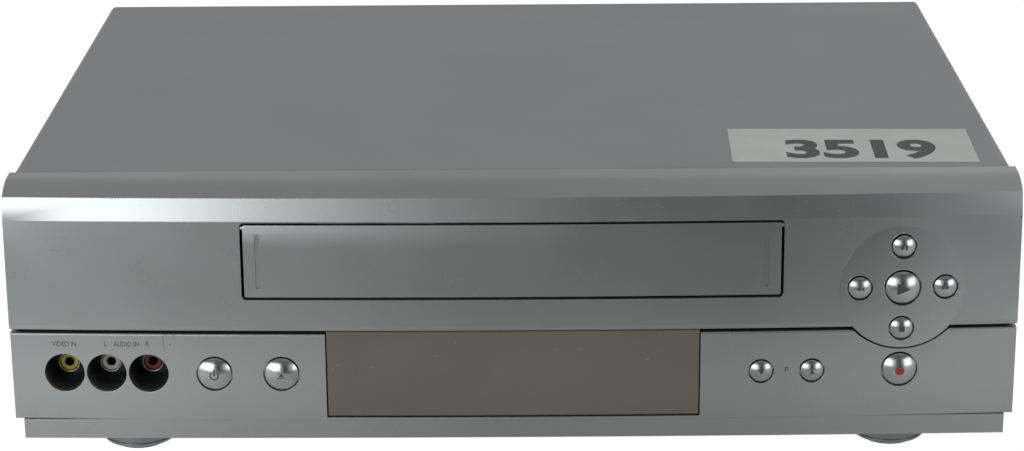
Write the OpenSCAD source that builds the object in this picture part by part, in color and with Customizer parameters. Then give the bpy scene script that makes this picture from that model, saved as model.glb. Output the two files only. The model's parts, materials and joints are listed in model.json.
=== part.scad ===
// Front-loading video cassette recorder with its tape deck and boards.
// The front faces -Y, the feet stand on Z = 0 and X = 0 is the middle.
// Inside the modules Y = 0 is the front moulding at its two ends, and
// Z = 0 is the underside of the base. stand() moves them to the row's origin.

/* [Case] */
// Width of the front moulding
case_w = 380; // [374:1:390]
// Height of the case above its feet
case_h = 99.7; // [98.5:0.1:104]
// How far each side of the steel cover is set in from the front moulding
cover_inset = 1.2; // [1.0:0.1:2]
// Sheet thickness of the cover
cover_t = 1.0; // [0.7:0.1:1.2]
// Depth of the steel cover
cover_d = 257; // [250:1:275]
// Outer radius of the cover's long bends
cover_bend_r = 2.5; // [1.6:0.1:4]
// Depth of the front moulding at its ends, up to the cover
front_d = 20.1; // [19:0.1:24]
// Gap between pieces of the case that meet
seam = 0.3; // [0.15:0.05:0.5]
// Wall of the front mouldings
skin_t = 2.2; // [1.8:0.1:2.4]
// How far the front curves forward in the middle
bow = 4.5; // [3:0.5:5.5]
// Height of the feet
foot_h = 6; // [4.5:0.5:8]
// Radius of a foot
foot_r = 14; // [10:0.1:17]
// How far the rubber pads stand out under the feet
pad_out = 1.6; // [0.4:0.1:2]
// Distance of each foot from the middle
foot_x = 144.5; // [120:0.5:160]
// Distance of the front feet behind the front
foot_y = 12.5; // [12.3:0.1:18]

/* [Front profile] */
// Drop of the sloping top of the front moulding
slope_drop = 4.1; // [3:0.1:5]
// Depth over which the slope falls
slope_d = 13.7; // [10:0.1:14.5]
// Height of the bright band
band_h = 8.4; // [6:0.1:9]
// How far the band leans back
band_lean = 2.3; // [1:0.1:3]
// How far the upper face leans forward at its foot
face_lean = 1.4; // [0.6:0.1:2]
// Height of the upper face, from the band down to the gap under it
face_h = 43; // [42.6:0.1:43.4]
// Height of that gap
split_gap = 1.5; // [1:0.1:2]
// Height of the small chamfer above the gap
split_chamfer = 2.0; // [1:0.1:2.5]
// How far the lower face stands behind the front plane at its top
lower_set = 0.4; // [0.1:0.1:0.6]
// Height of the base strip
base_h = 7.9; // [7:0.1:8.4]
// How far each end of the base strip is set in from the front moulding
base_inset = 3.3; // [3:0.1:10]
// How far the base strip curves forward in the middle
base_bow = 2.0; // [1:0.1:3]
// Gap between the base strip and the lower moulding
base_gap = 0.1; // [0.05:0.05:0.3]

/* [Cassette door] */
// Width of the door
door_w = 200.6; // [196:0.2:202]
// Height of the door
door_h = 27.9; // [27.4:0.1:28.2]
// Distance of the door's upper edge below the band
door_drop = 1.6; // [1.4:0.1:1.8]
// Gap all round the door
door_gap = 1.1; // [0.8:0.1:1.3]
// Radius of the door's corners
door_corner_r = 0.9; // [0.3:0.1:1.2]
// Height of the door's brow, which rolls back
brow_h = 9; // [6:0.5:12]
// How far the brow rolls back at its upper edge
brow_back = 0.65; // [0.3:0.05:0.7]
// Distance of the hinge behind the door's face
hinge_in = 1.6; // [1.5:0.1:1.7]
// Distance of the hinge below the door's upper edge
hinge_down = 1.2; // [1.1:0.1:1.5]
// Radius of the hinge pins
hinge_r = 0.9; // [0.7:0.05:0.95]
// Length of each hinge pin past the door's end
hinge_l = 3.6; // [2.5:0.1:4]
// Radial clearance of a shaft or pin that turns in its bore
run_gap = 0.05; // [0.03:0.01:0.08]
// Distance of the door's two upright grooves from the middle
groove_x = 95; // [80:0.5:97]
// Width of a groove
groove_w = 1.8; // [1:0.1:2.5]
// Height of a groove
groove_h = 21.4; // [15:0.1:23]

/* [Keys] */
// Distance of the round disc from the middle
disc_x = 146; // [140:0.5:150]
// Distance of the disc's centre below the band
disc_drop = 27.4; // [26.8:0.1:28.2]
// Radius of the disc's dome
disc_r = 23.5; // [22.5:0.1:23.8]
// Height of that dome
disc_rise = 0.7; // [0.3:0.1:1.2]
// How far the dome's edge stands out of the face
disc_edge = 0.12; // [0.05:0.01:0.3]
// Width of the plain rim outside the dome
disc_rim = 0.35; // [0.2:0.05:0.5]
// Gap between that rim and the lower moulding
disc_gap = 1.0; // [0.6:0.1:1.2]
// Distance of the four outer keys from the disc's centre
disc_pitch = 16; // [15.6:0.1:16.4]
// Radius of the large key holes
big_r = 6.95; // [6.5:0.05:7.1]
// Radius of the small key holes
small_r = 4.85; // [4.4:0.05:5]
// Gap round each key
key_gap = 0.6; // [0.4:0.05:0.8]
// Height of a large key's dome
dome_h = 2.3; // [1.5:0.1:2.4]
// Travel of a key
key_travel = 0.8; // [0.4:0.05:0.9]
// Distance of the row of keys and sockets below the top of the lower moulding
row_drop = 16; // [15.7:0.1:17.5]
// Distance of the power key from the middle
power_x = 112.9; // [110:0.1:116]
// Distance of the eject key from the middle
eject_x = 87.5; // [85:0.1:90]
// Distance of the channel down key from the middle
down_x = 93.7; // [90:0.1:95]
// Distance of the channel up key from the middle
up_x = 112.9; // [111:0.1:115]

/* [Front sockets] */
// Distance of the middle socket from the middle of the case
jack_x = 154; // [152:0.5:156]
// Distance between sockets
jack_pitch = 16; // [15.8:0.1:16.6]
// Radius of a socket's recess
jack_hole_r = 7.55; // [7:0.05:7.6]
// Outer radius of a socket's metal shell
shell_r = 4.15; // [3.9:0.05:4.3]
// Length of a socket's metal shell
shell_l = 7.8; // [6:0.1:9]

/* [Display] */
// Width of the display opening
window_w = 141.4; // [130:0.2:146]
// Lower edge of the display opening
window_z = 9; // [8.8:0.1:10]
// Thickness of the display window
window_t = 2.5; // [2:0.1:3]
// How far the window lies behind the lower face
window_set = 0.5; // [0:0.1:1]

/* [Tape deck] */
// Height of the deck plate's upper face
deck_z = 23.6; // [23.2:0.1:24]
// Thickness of the deck plate
deck_t = 1.6; // [1.2:0.1:2]
// Width of a cassette
tape_w = 187.6; // [187.4:0.1:188]
// Thickness of a cassette with play
tape_h = 26.2; // [25.6:0.1:26.6]
// How far the carriage carries a cassette back
load_back = 45; // [40:1:46]
// Height of the lowered cassette holder above the deck
seat_h = 9.6; // [9:0.1:13]
// Distance of the drum's axis behind the front plane
drum_y = 218; // [214:1:220]
// Radius of the head drum
drum_r = 31; // [28:0.5:31]
// Lean of the head drum in degrees
drum_lean = 5.9; // [0:0.1:8]
// Distance of each reel table from the middle
reel_x = 46; // [44:0.5:48]
// Distance of the reel tables behind the front plane
reel_y = 118; // [112:1:122]
// Radius from the drum's axis on which the tape guides swing
guide_r = 46; // [45:0.5:47]
// Tooth size of the gears
tooth_m = 1.0; // [0.9:0.05:1.0]
// Teeth of the mode gear
mode_teeth = 48; // [40:1:48]
// Teeth of the loading pinion
pinion_teeth = 12; // [11:1:13]
// Teeth of the carriage gear
lift_teeth = 16; // [14:1:16]
// Play between meshing teeth, along the pitch line
tooth_play = 0.25; // [0.15:0.01:0.4]

/* [Rear] */
// How far the aerial sockets stand out behind the cover
rear_out = 7.0; // [5:0.5:12]
// Thickness of the rear panel
rear_t = 1.2; // [0.8:0.1:2]

/* [Hidden] */
$fn = 96;

half_w = case_w / 2;
cover_half = half_w - cover_inset;
cover_rear = front_d + cover_d;
bow_r = (half_w * half_w + bow * bow) / (2 * bow);
base_half = half_w - base_inset;
base_bow_r = (base_half * base_half + base_bow * base_bow) / (2 * base_bow);
box_rear = cover_rear + rear_out;

band_top = case_h - slope_drop;
band_low = band_top - band_h;
split_z = band_low - face_h;
face_low = split_z + split_chamfer;
lower_top = split_z - split_gap;
row_z = lower_top - row_drop;
disc_z = band_low - disc_drop;
key_front = front_y(min(eject_x, power_x), lower_y0(row_z)) - dome_h;
box_front = min(-bow - face_lean, key_front);

door_top = band_low - door_drop;
door_z = door_top - door_h;
hinge_z = door_top - hinge_down;
mouth_w = door_w + 2 * door_gap;
mouth_z = door_z - door_gap;
mouth_top = door_top + door_gap;

frame_y = 4.0;
frame_t = 2.0;
board_t = 1.6;
key_board_y = 12;
switch_s = 6;
switch_d = 3.5;
plunger_l = 0.9;
stem_r = 2.0;
stem_end = key_board_y - switch_d - plunger_l - key_travel - 0.1;

tray_half = cover_half - cover_t - seam;
tray_t = 1.6;
tray_rear = cover_rear - rear_t - 0.2;

mouth_floor = mouth_z - 0.2;
holder_t = 1.2;
holder_front = 31;
holder_rear = 132;
holder_half = tape_w / 2 + 0.8;
slider_x = holder_half + holder_t + 1.8;
slider_t = 1.2;
frame_x = slider_x + slider_t + 1.2;
post_x = 96;

function front_y(x, y0) = bow_r - bow - sqrt(pow(bow_r - y0, 2) - x * x);
function face_y0(z) = -face_lean * (band_low - z) / (band_low - face_low);
function lower_y0(z) = -lower_set - 0.2 * (lower_top - z) / (lower_top - base_h);
function slope_z(t) = case_h - slope_drop * pow(t, 2.45);

module stand() {
    translate([0, -(box_front + box_rear) / 2, foot_h])
        children();
}

module box(x0, x1, y0, y1, z0, z1) {
    translate([x0, y0, z0])
        cube([x1 - x0, y1 - y0, z1 - z0]);
}

module both_sides() {
    children();
    mirror([1, 0, 0])
        children();
}

// A cylinder along +Y from y0 to y1
module along_y(x, z, r, y0, y1) {
    translate([x, y0, z])
        rotate([-90, 0, 0])
            cylinder(r = r, h = y1 - y0);
}

// A cylinder along +X from x0 to x1
module along_x(y, z, r, x0, x1) {
    translate([x0, y, z])
        rotate([0, 90, 0])
            cylinder(r = r, h = x1 - x0);
}

module upright(x, y, r, z0, z1) {
    translate([x, y, z0])
        cylinder(r = r, h = z1 - z0);
}

module tube_up(x, y, r, bore, z0, z1) {
    difference() {
        upright(x, y, r, z0, z1);
        upright(x, y, bore, z0 - 1, z1 + 1);
    }
}

module rounded(w, h, r) {
    square([w - 2 * r, h], center = true);
    square([w, h - 2 * r], center = true);
    for (i = [-1, 1], j = [-1, 1])
        translate([i * (w / 2 - r), j * (h / 2 - r)])
            circle(r = r);
}

// A rounded rectangle across XZ, extruded along +Y
module window_cut(x, z, w, h, r, y0, y1) {
    translate([x, y1, z])
        rotate([90, 0, 0])
            linear_extrude(y1 - y0)
                rounded(w, h, r);
}

// Sweeps a side outline, given as [depth, height], along the curve of the front
module bowed(outline, half, radius, out) {
    swing = asin((half_w + 6) / (radius - 30));
    intersection() {
        translate([0, radius - out, 0])
            rotate([0, 0, -90 - swing])
                rotate_extrude(angle = 2 * swing, $fn = 256)
                    polygon([for (p = outline) [radius - p[0], p[1]]]);
        box(-half, half, -20, 60, -10, 130);
    }
}

module front_sweep(outline, half) {
    bowed(outline, half, bow_r, bow);
}

slope_steps = [0, 0.1, 0.25, 0.4, 0.5, 0.6, 0.7, 0.8, 0.9, 1];
disc_foot = disc_z - disc_r - 4;

// Outline of the upper front moulding, moved inwards by t and carried down to z_end
function upper_outline(t, z_end) = concat(
    [[60, case_h - t]],
    [for (s = slope_steps) [band_lean + slope_d * (1 - s) + t * 0.9, slope_z(s) - t]],
    [[t, band_low - t * 0.2], [face_y0(z_end) + t, z_end], [60, z_end]]);

face_tip = atan(face_lean / (band_low - face_low));
disc_turn = asin(disc_x / bow_r);
disc_y = front_y(disc_x, face_y0(disc_z));

// How far the disc stands out of the face at a place measured from its centre
function disc_out(dx, dz) = disc_edge + disc_rise * (1 - (dx * dx + dz * dz) / (disc_r * disc_r));

// The shallow dome on the disc, square to the curved face and sunk in its plate.
// It is open in the middle, where the large key's hole is.
module disc_dome() {
    rings = 12;
    open_r = big_r - 1;
    seam_turn = 37;
    translate([disc_x, disc_y, disc_z])
        rotate([0, 0, disc_turn])
            rotate([90 - face_tip, 0, 0])
                rotate([0, 0, seam_turn])
                    rotate_extrude()
                        polygon(concat([[open_r, -skin_t / 2], [disc_r, -skin_t / 2]],
                            [for (i = [rings:-1:0])
                                let (r = open_r + (disc_r - open_r) * i / rings)
                                    [r, disc_out(r, 0)]]));
}

disc_keys = [[0, 0, big_r], [0, disc_pitch, small_r], [0, -disc_pitch, small_r],
    [-disc_pitch, 0, small_r], [disc_pitch, 0, small_r]];
row_keys = [[-power_x, row_z, big_r], [-eject_x, row_z, big_r], [down_x, row_z, small_r],
    [up_x, row_z, small_r], [disc_x, row_z, big_r]];
all_keys = concat([for (k = disc_keys) [disc_x + k[0], disc_z + k[1], k[2]]], row_keys);

hinge_y = front_y(door_w / 2, face_y0(hinge_z)) + hinge_in;
boss_back = hinge_y + hinge_r + 1.8;
spring_y = hinge_y + 3.2;
spring_z = hinge_z - 4;

module hinge_bosses() {
    both_sides()
        box(mouth_w / 2 - 1.4, mouth_w / 2 + 5, hinge_y - 0.4, boss_back, hinge_z - 3, hinge_z + 3);
}

// What is cut away below the upper moulding, outside the disc
module below_split() {
    difference() {
        union() {
            box(-half_w - 5, half_w + 5, -30, 60, disc_foot - 5, split_z);
            front_sweep([[-30, split_z - 1], [-face_lean + 0.8, split_z - 1],
                [-face_lean + 0.8, split_z], [-face_lean - 0.1, face_low + 0.2], [-30, face_low + 0.2]],
                half_w + 5);
        }
        along_y(disc_x, disc_z, disc_r + disc_rim, -40, 70);
    }
}

// The stub and its bracket that carry the door's spring, on the left boss
module spring_stub() {
    start = -mouth_w / 2 - 5;
    along_x(spring_y, spring_z, 1.1, start - 8, start + 1);
    box(start - 1.5, start + 1, spring_y - 3.4, spring_y + 1.1, spring_z - 1.1, hinge_z - 1);
}

module front_panel_upper() color("#8d9092") stand() {
    difference() {
        union() {
            difference() {
                intersection() {
                    front_sweep(upper_outline(0, disc_foot), half_w);
                    box(-half_w - 1, half_w + 1, -20, front_d, 0, 130);
                }
                front_sweep(upper_outline(skin_t, disc_foot - 10), half_w - skin_t);
                below_split();
            }
            disc_dome();
            hinge_bosses();
            spring_stub();
        }
        window_cut(0, (mouth_z + mouth_top) / 2, mouth_w, mouth_top - mouth_z,
            door_corner_r + 0.8, -20, 9);
        for (k = disc_keys)
            along_y(disc_x + k[0], disc_z + k[1], k[2], -20, 20);
        both_sides()
            along_x(hinge_y, hinge_z, hinge_r + run_gap, 0, door_w / 2 + hinge_l + 0.3);
    }
}

module front_panel_lower() color("#9a9c9d") stand() {
    lip = 5;
    lip_top = window_z - 0.4;
    difference() {
        union() {
            difference() {
                intersection() {
                    front_sweep([[60, lower_top], [-lower_set + 0.5, lower_top],
                        [-lower_set, lower_top - 0.5], [-lower_set - 0.2, base_h], [60, base_h]],
                        half_w);
                    box(-half_w - 1, half_w + 1, -20, front_d, 0, 130);
                }
                front_sweep([[60, lower_top + 5], [skin_t - lower_set, lower_top + 5],
                    [skin_t - lower_set - 0.2, base_h - 5], [60, base_h - 5]], half_w - skin_t);
            }
            front_sweep([[0, base_h], [lip, base_h], [lip, lip_top], [0, lip_top]], half_w - 1);
        }
        box(-window_w / 2, window_w / 2, -20, 20, window_z, lower_top + 5);
        along_y(disc_x, disc_z, disc_r + disc_rim + disc_gap, -20, 20);
        for (k = row_keys)
            along_y(k[0], k[1], k[2], -20, 20);
        for (i = [-1, 0, 1])
            along_y(-jack_x + i * jack_pitch, row_z, jack_hole_r, -20, 20);
    }
}

recess_back = 17;
recess_wall = 1.4;
frame_low = base_h + 1.4;
frame_sill = mouth_floor - 0.8;
frame_door_half = mouth_w / 2 + 6.4;
frame_top = band_low - 1.2;
boss_low = frame_low + 4.4;
boss_high = lower_top - 4.5;
board_bosses = [[-power_x - 7.5, boss_low], [-eject_x + 12, boss_high], [78, boss_high],
    [half_w - 10, boss_low], [disc_x + 22, disc_z + 20]];

module front_frame() color("#17181a") stand() {
    edge = half_w - skin_t - seam;
    difference() {
        union() {
            box(-edge, edge, frame_y, frame_y + frame_t, frame_low, frame_sill);
            both_sides()
                box(frame_door_half, edge, frame_y, frame_y + frame_t, frame_low, frame_top);
            box(-mouth_w / 2, mouth_w / 2, frame_y, frame_y + 9, frame_sill - 2, frame_sill);
            for (b = board_bosses)
                along_y(b[0], b[1], 2.6, frame_y, key_board_y);
            difference() {
                box(-jack_x - jack_pitch - jack_hole_r - recess_wall,
                    -jack_x + jack_pitch + jack_hole_r + recess_wall, -2, recess_back,
                    row_z - jack_hole_r - recess_wall, row_z + jack_hole_r + recess_wall);
                front_sweep([[-30, 60], [skin_t + 0.1, 60], [skin_t + 0.1, -5], [-30, -5]], half_w);
            }
        }
        window_cut(0, (window_z + lower_top) / 2 + 0.6, window_w - 10,
            lower_top - window_z - 4, 2, -20, 30);
        for (i = [-1, 0, 1])
            along_y(-jack_x + i * jack_pitch, row_z, jack_hole_r, -20, 30);
        for (k = all_keys)
            along_y(k[0], k[1], stem_r + 0.6, -20, 30);
    }
}

// Plan of the base strip between its curved front, moved back by t, and y = back
module base_plan(half, t, back) {
    steps = 20;
    polygon(concat([[half, back], [-half, back]], [for (i = [0:steps])
        let (x = half * (2 * i / steps - 1))
            [x, t - face_lean + base_bow_r - base_bow - sqrt(pow(base_bow_r, 2) - x * x)]]));
}

module base_plinth() color("#8f9193") stand() {
    top = base_h - base_gap;
    difference() {
        linear_extrude(top)
            base_plan(base_half, 0, front_d);
        translate([0, 0, tray_t])
            linear_extrude(top)
                base_plan(base_half - skin_t, skin_t, front_d + 5);
        both_sides()
            upright(foot_x, foot_y, 2, -5, 5);
    }
}

tray_front = front_d + seam;
foot_back_y = cover_rear - 30;
deck_posts = [[-post_x, 46], [post_x, 46], [-post_x, 256], [post_x, 256]];
board_in = 110;
board_z = 12;
board_posts = [[board_in + 5, 46], [tray_half - 9, 46], [board_in + 5, 256],
    [tray_half - 9, 256], [-board_in - 5, 138], [-tray_half + 9, 138],
    [-board_in - 5, 256], [-tray_half + 9, 256]];
side_screws = [62, 238];
screw_z = 8;
screw_r = 1.45;
rear_screws = [-174, -60, 40];

module base_tray() color("#a9abab") stand() {
    rim = board_z + 1;
    difference() {
        union() {
            box(-tray_half, tray_half, tray_front, tray_rear, 0, tray_t);
            both_sides()
                box(tray_half - tray_t, tray_half, tray_front, tray_rear, 0, rim);
            box(-tray_half, tray_half, tray_rear - tray_t, tray_rear, 0, rim);
            for (p = deck_posts)
                upright(p[0], p[1], 4, 0.5, deck_z - deck_t);
            for (p = board_posts)
                upright(p[0], p[1], 3, 0.5, board_z);
        }
        for (i = [0:11], s = [-1, 1])
            translate([s * 142 - 24, 160 + i * 7, -1])
                cube([48, 3, 4]);
        for (p = deck_posts)
            upright(p[0], p[1], 1.3, deck_z - deck_t - 8, deck_z + 1);
        both_sides() {
            upright(foot_x, foot_back_y, 2, -5, 5);
            for (y = side_screws)
                along_x(y, screw_z, screw_r + 0.1, tray_half - 5, tray_half + 5);
        }
        for (x = rear_screws)
            along_y(x, screw_z, screw_r + 0.1, tray_rear - 5, tray_rear + 5);
    }
}

foot_low = pad_out - foot_h;
pad_sunk = 0.8;

// A foot with a groove round it, a recess for the pad and a peg into the base
module foot(x, y) {
    translate([x, y, foot_low])
        rotate_extrude()
            polygon([[0, pad_sunk], [foot_r - 3.4, pad_sunk], [foot_r - 3.4, 0], [foot_r - 0.7, 0],
                [foot_r, 0.6], [foot_r, 1.4], [foot_r - 0.4, 1.5], [foot_r - 0.4, 1.8],
                [foot_r, 1.9], [foot_r, -foot_low], [0, -foot_low]]);
    upright(x, y, 1.8, -0.5, tray_t + 2);
}

module feet() color("#8b8e90") stand() {
    both_sides() {
        foot(foot_x, foot_y);
        foot(foot_x, foot_back_y);
    }
}

module foot_pads() color("#2a2b2c") stand() {
    both_sides() {
        upright(foot_x, foot_y, foot_r - 3.6, -foot_h, foot_low + pad_sunk);
        upright(foot_x, foot_back_y, foot_r - 3.6, -foot_h, foot_low + pad_sunk);
    }
}

cover_low = 1.2;

// The bent sheet's outline across the case, moved inwards by t
module cover_outline(t) {
    w = cover_half - t;
    h = case_h - t;
    r = cover_bend_r - t;
    polygon([[-w, cover_low - t], [w, cover_low - t], [w, h - r], [w - r, h], [-w + r, h],
        [-w, h - r]]);
    for (s = [-1, 1])
        translate([s * (w - r), h - r])
            circle(r = r);
}

module top_cover() color("#8f9193") stand() {
    back = cover_rear;
    difference() {
        translate([0, back, 0])
            rotate([90, 0, 0])
                linear_extrude(back - front_d - seam)
                    difference() {
                        cover_outline(0);
                        cover_outline(cover_t);
                    }
        both_sides() {
            for (i = [0:13])
                translate([cover_half - 5, 150 + i * 7, case_h * 0.62])
                    cube([10, 3, 22]);
            for (y = side_screws)
                along_x(y, screw_z, screw_r + 0.1, cover_half - 5, cover_half + 5);
        }
    }
}

// A pan-head screw pointing along +X with its head at x
module side_screw(x, y, z, side) {
    head = cover_inset;
    translate([x, y, z])
        rotate([0, -90 * side, 0])
            difference() {
                union() {
                    translate([0, 0, -head])
                        cylinder(r = 3.2, h = head);
                    cylinder(r = screw_r, h = 5);
                }
                for (a = [0, 90])
                    rotate([0, 0, a])
                        translate([-0.4, -1.8, -head - 1])
                            cube([0.8, 3.6, 1.6]);
            }
}

module cover_screws() color("#b4b6b8") stand() {
    for (y = side_screws) {
        side_screw(cover_half, y, screw_z, 1);
        side_screw(-cover_half, y, screw_z, -1);
    }
    for (x = rear_screws)
        translate([x, tray_rear + rear_t, screw_z])
            rotate([90, 0, 0]) {
                translate([0, 0, -cover_inset])
                    cylinder(r = 3.2, h = cover_inset);
                cylinder(r = screw_r, h = 5);
            }
}

module paper_label() color("#e8ebe6") stand() {
    label_w = 93.7;
    label_d = 43.5;
    label_t = 0.12;
    translate([131.3, 48.4, case_h])
        rotate([0, 0, -1.4])
            translate([-label_w / 2, -label_d / 2, 0])
                cube([label_w, label_d, label_t]);
}

module display_window() color("#5f5a52") stand() {
    gap = 0.4;
    y0 = window_set - lower_set;
    front_sweep([[y0, window_z + gap], [y0, split_z - 0.6], [y0 + window_t, split_z - 0.6],
        [y0 + window_t, window_z + gap]], window_w / 2 - gap);
}

module display_tube() color("#20302c") stand() {
    glass_d = 6.2;
    low = window_z + 5;
    difference() {
        union() {
            box(-window_w / 2 + 9, window_w / 2 - 9, key_board_y - glass_d, key_board_y, low,
                lower_top - 5);
            along_y(window_w / 2 - 12, low + 4, 1.6, key_board_y - glass_d - 1.6, key_board_y - 3);
        }
        box(-window_w / 2 + 14, window_w / 2 - 16, key_board_y - glass_d - 3,
            key_board_y - glass_d + 0.4, low + 3, lower_top - 8);
    }
}

module cassette_door() color("#a3a5a6") stand() {
    foot = face_y0(door_z);
    brow = [for (s = [1:-0.125:0])
        let (z = door_top - brow_h * (1 - s))
            [face_y0(z) + brow_back * s * s, z]];
    difference() {
        union() {
            intersection() {
                front_sweep(concat(brow, [[foot, door_z], [foot + skin_t, door_z],
                    [face_y0(door_top) + skin_t, door_top]]), door_w / 2);
                window_cut(0, door_z + door_h / 2, door_w, door_h, door_corner_r, -20, 20);
            }
            both_sides()
                along_x(hinge_y, hinge_z, hinge_r, door_w / 2 - 3, door_w / 2 + hinge_l);
        }
        both_sides()
            translate([groove_x, front_y(groove_x, face_y0(door_z + door_h / 2)), door_z + door_h / 2])
                rotate([-face_tip, 0, 0])
                    window_cut(0, 0, groove_w, groove_h, groove_w / 2 - 0.05, -10, 0.45);
    }
}

module door_spring() color("#c8cacc") stand() {
    start = mouth_w / 2 + 5 + 1.7;
    mirror([1, 0, 0])
        difference() {
            union() {
                along_x(spring_y, spring_z, 1.9, start, start + 5);
                box(start + 4.2, start + 5, spring_y - 1.8, spring_y + 0.4, spring_z - 9, spring_z - 1);
            }
            along_x(spring_y, spring_z, 1.2, start - 1, start + 7);
        }
}

// A domed key at its hole. back is how far behind the skin its collar sits
module key(x, z, hole_r, skin_y, back) {
    cap_r = hole_r - key_gap;
    rise = dome_h * cap_r / (big_r - key_gap);
    ball = (cap_r * cap_r + rise * rise) / (2 * rise);
    collar = 1.1;
    translate([x, skin_y, z])
        rotate([-90, 0, 0]) {
            intersection() {
                translate([0, 0, ball - rise])
                    sphere(r = ball);
                translate([0, 0, -rise - 1])
                    cylinder(r = cap_r, h = rise + 1 + back + collar);
            }
            translate([0, 0, back])
                cylinder(r = hole_r + 0.8, h = collar);
            translate([0, 0, back])
                cylinder(r = stem_r, h = stem_end - skin_y - back);
        }
}

// One of the five keys on the disc
module disc_key(dx, dz, hole_r) {
    face = front_y(disc_x + dx, face_y0(disc_z + dz));
    out = disc_out(dx, dz);
    key(disc_x + dx, disc_z + dz, hole_r, face - out, skin_t + out + 0.6);
}

module row_key(x, hole_r) {
    key(x, row_z, hole_r, front_y(x, lower_y0(row_z)), skin_t + 0.5);
}

module play_button() color("#b9bbbd") stand() disc_key(0, 0, big_r);
module pause_button() color("#b9bbbd") stand() disc_key(0, disc_pitch, small_r);
module stop_button() color("#b9bbbd") stand() disc_key(0, -disc_pitch, small_r);
module rewind_button() color("#b9bbbd") stand() disc_key(-disc_pitch, 0, small_r);
module forward_button() color("#b9bbbd") stand() disc_key(disc_pitch, 0, small_r);
module record_button() color("#b9bbbd") stand() row_key(disc_x, big_r);
module power_button() color("#b9bbbd") stand() row_key(-power_x, big_r);
module eject_button() color("#b9bbbd") stand() row_key(-eject_x, big_r);
module channel_down_button() color("#b9bbbd") stand() row_key(down_x, small_r);
module channel_up_button() color("#b9bbbd") stand() row_key(up_x, small_r);

// The board behind the keys, and the small one behind the front sockets
module front_boards() color("#2f5a3c") stand() {
    edge = half_w - skin_t - 3;
    back = jack_front + jack_d;
    difference() {
        union() {
            box(-power_x - 12, edge, key_board_y, key_board_y + board_t, frame_low + 1,
                lower_top - 1);
            box(disc_x - disc_r - 3, disc_x + disc_r + 3, key_board_y, key_board_y + board_t,
                lower_top - 2, disc_z + disc_r);
        }
        for (b = board_bosses)
            along_y(b[0], b[1], 1.2, 0, 30);
    }
    box(-edge, -jack_x + jack_pitch + 12, back, back + board_t, frame_low + 1, lower_top - 2);
}

module key_switches() color("#3a3c40") stand() {
    for (k = all_keys) {
        box(k[0] - switch_s / 2, k[0] + switch_s / 2, key_board_y - switch_d, key_board_y,
            k[1] - switch_s / 2, k[1] + switch_s / 2);
        along_y(k[0], k[1], 1.7, key_board_y - switch_d - plunger_l, key_board_y - 1);
    }
}

jack_front = recess_back + seam;
jack_tip = jack_front - shell_l;
jack_d = 10;

module jack_body() color("#1b1c1e") stand() {
    reach = jack_pitch + jack_hole_r + 1;
    box(-jack_x - reach, -jack_x + reach, jack_front, jack_front + jack_d, row_z - 8.6, row_z + 8.6);
}

module ring_y(x, z, r, bore, y0, y1) {
    difference() {
        along_y(x, z, r, y0, y1);
        along_y(x, z, bore, y0 - 1, y1 + 1);
    }
}

module jack_shells() color("#c9cbcc") stand() {
    for (i = [-1, 0, 1])
        ring_y(-jack_x + i * jack_pitch, row_z, shell_r, shell_r - 0.6, jack_tip, jack_front);
}

module insert(i) {
    ring_y(-jack_x + i * jack_pitch, row_z, shell_r - 0.6 - run_gap, 1.7, jack_tip + 0.3, jack_front);
}

module video_insert() color("#b8a923") stand() insert(-1);
module audio_left_insert() color("#d8d8c4") stand() insert(0);
module audio_right_insert() color("#8c2430") stand() insert(1);

aerial_x = tray_half - 13.5;
scart_x = aerial_x - 40;
scart_w = 47;
scart_h = 15;
scart_z = [24, 46];
aerial_z = [26, 48];
aerial_r = 4.75;
line_x = scart_x - 42;
line_z = [30, 46];
inlet_x = tray_half - 37.5;
inlet_z = 26;
inlet_w = 22;
inlet_h = 14;
rear_y = tray_rear;

module rear_panel() color("#6f7173") stand() {
    difference() {
        union() {
            box(-tray_half, tray_half, rear_y, rear_y + rear_t, tray_t / 2, case_h - cover_bend_r);
            box(cover_bend_r - tray_half, tray_half - cover_bend_r, rear_y, rear_y + rear_t,
                case_h - cover_bend_r - 1, case_h - cover_t - seam);
        }
        for (z = scart_z)
            box(scart_x - scart_w / 2 - seam, scart_x + scart_w / 2 + seam, rear_y - 1,
                rear_y + 5, z - scart_h / 2 - seam, z + scart_h / 2 + seam);
        for (z = aerial_z)
            along_y(aerial_x, z, aerial_r + 1.3, rear_y - 1, rear_y + 5);
        for (z = line_z)
            along_y(line_x, z, 6.3, rear_y - 1, rear_y + 5);
        box(-inlet_x - inlet_w / 2 - seam, -inlet_x + inlet_w / 2 + seam, rear_y - 1, rear_y + 5,
            inlet_z - inlet_h / 2 - seam, inlet_z + inlet_h / 2 + seam);
        for (x = rear_screws)
            along_y(x, screw_z, screw_r + 0.1, rear_y - 1, rear_y + 5);
        for (i = [0:15])
            translate([-100 + i * 7, rear_y - 1, 62])
                cube([3, 4, 20]);
    }
}

module scart_sockets() color("#1c1d1f") stand() {
    for (z = scart_z)
        difference() {
            box(scart_x - scart_w / 2, scart_x + scart_w / 2, rear_y - 18, rear_y + rear_t + 1,
                z - scart_h / 2, z + scart_h / 2);
            difference() {
                box(scart_x - 21.5, scart_x + 21.5, rear_y - 10, rear_y + 5, z - 5.2, z + 5.2);
                box(scart_x - 18, scart_x + 18, rear_y - 12, rear_y + rear_t, z - 2.4, z + 2.4);
            }
        }
}

module tuner_can() color("#b7babb") stand() {
    difference() {
        box(aerial_x - 10.5, aerial_x + 10.5, rear_y - 46, rear_y - 0.4, board_z + board_t, 60);
        for (z = aerial_z)
            along_y(aerial_x, z, 2.5, rear_y - 3, rear_y + 5);
    }
}

module aerial_sockets() color("#cfd1d2") stand() {
    for (z = aerial_z)
        ring_y(aerial_x, z, aerial_r, aerial_r - 1, rear_y - 0.4, box_rear);
}

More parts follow.
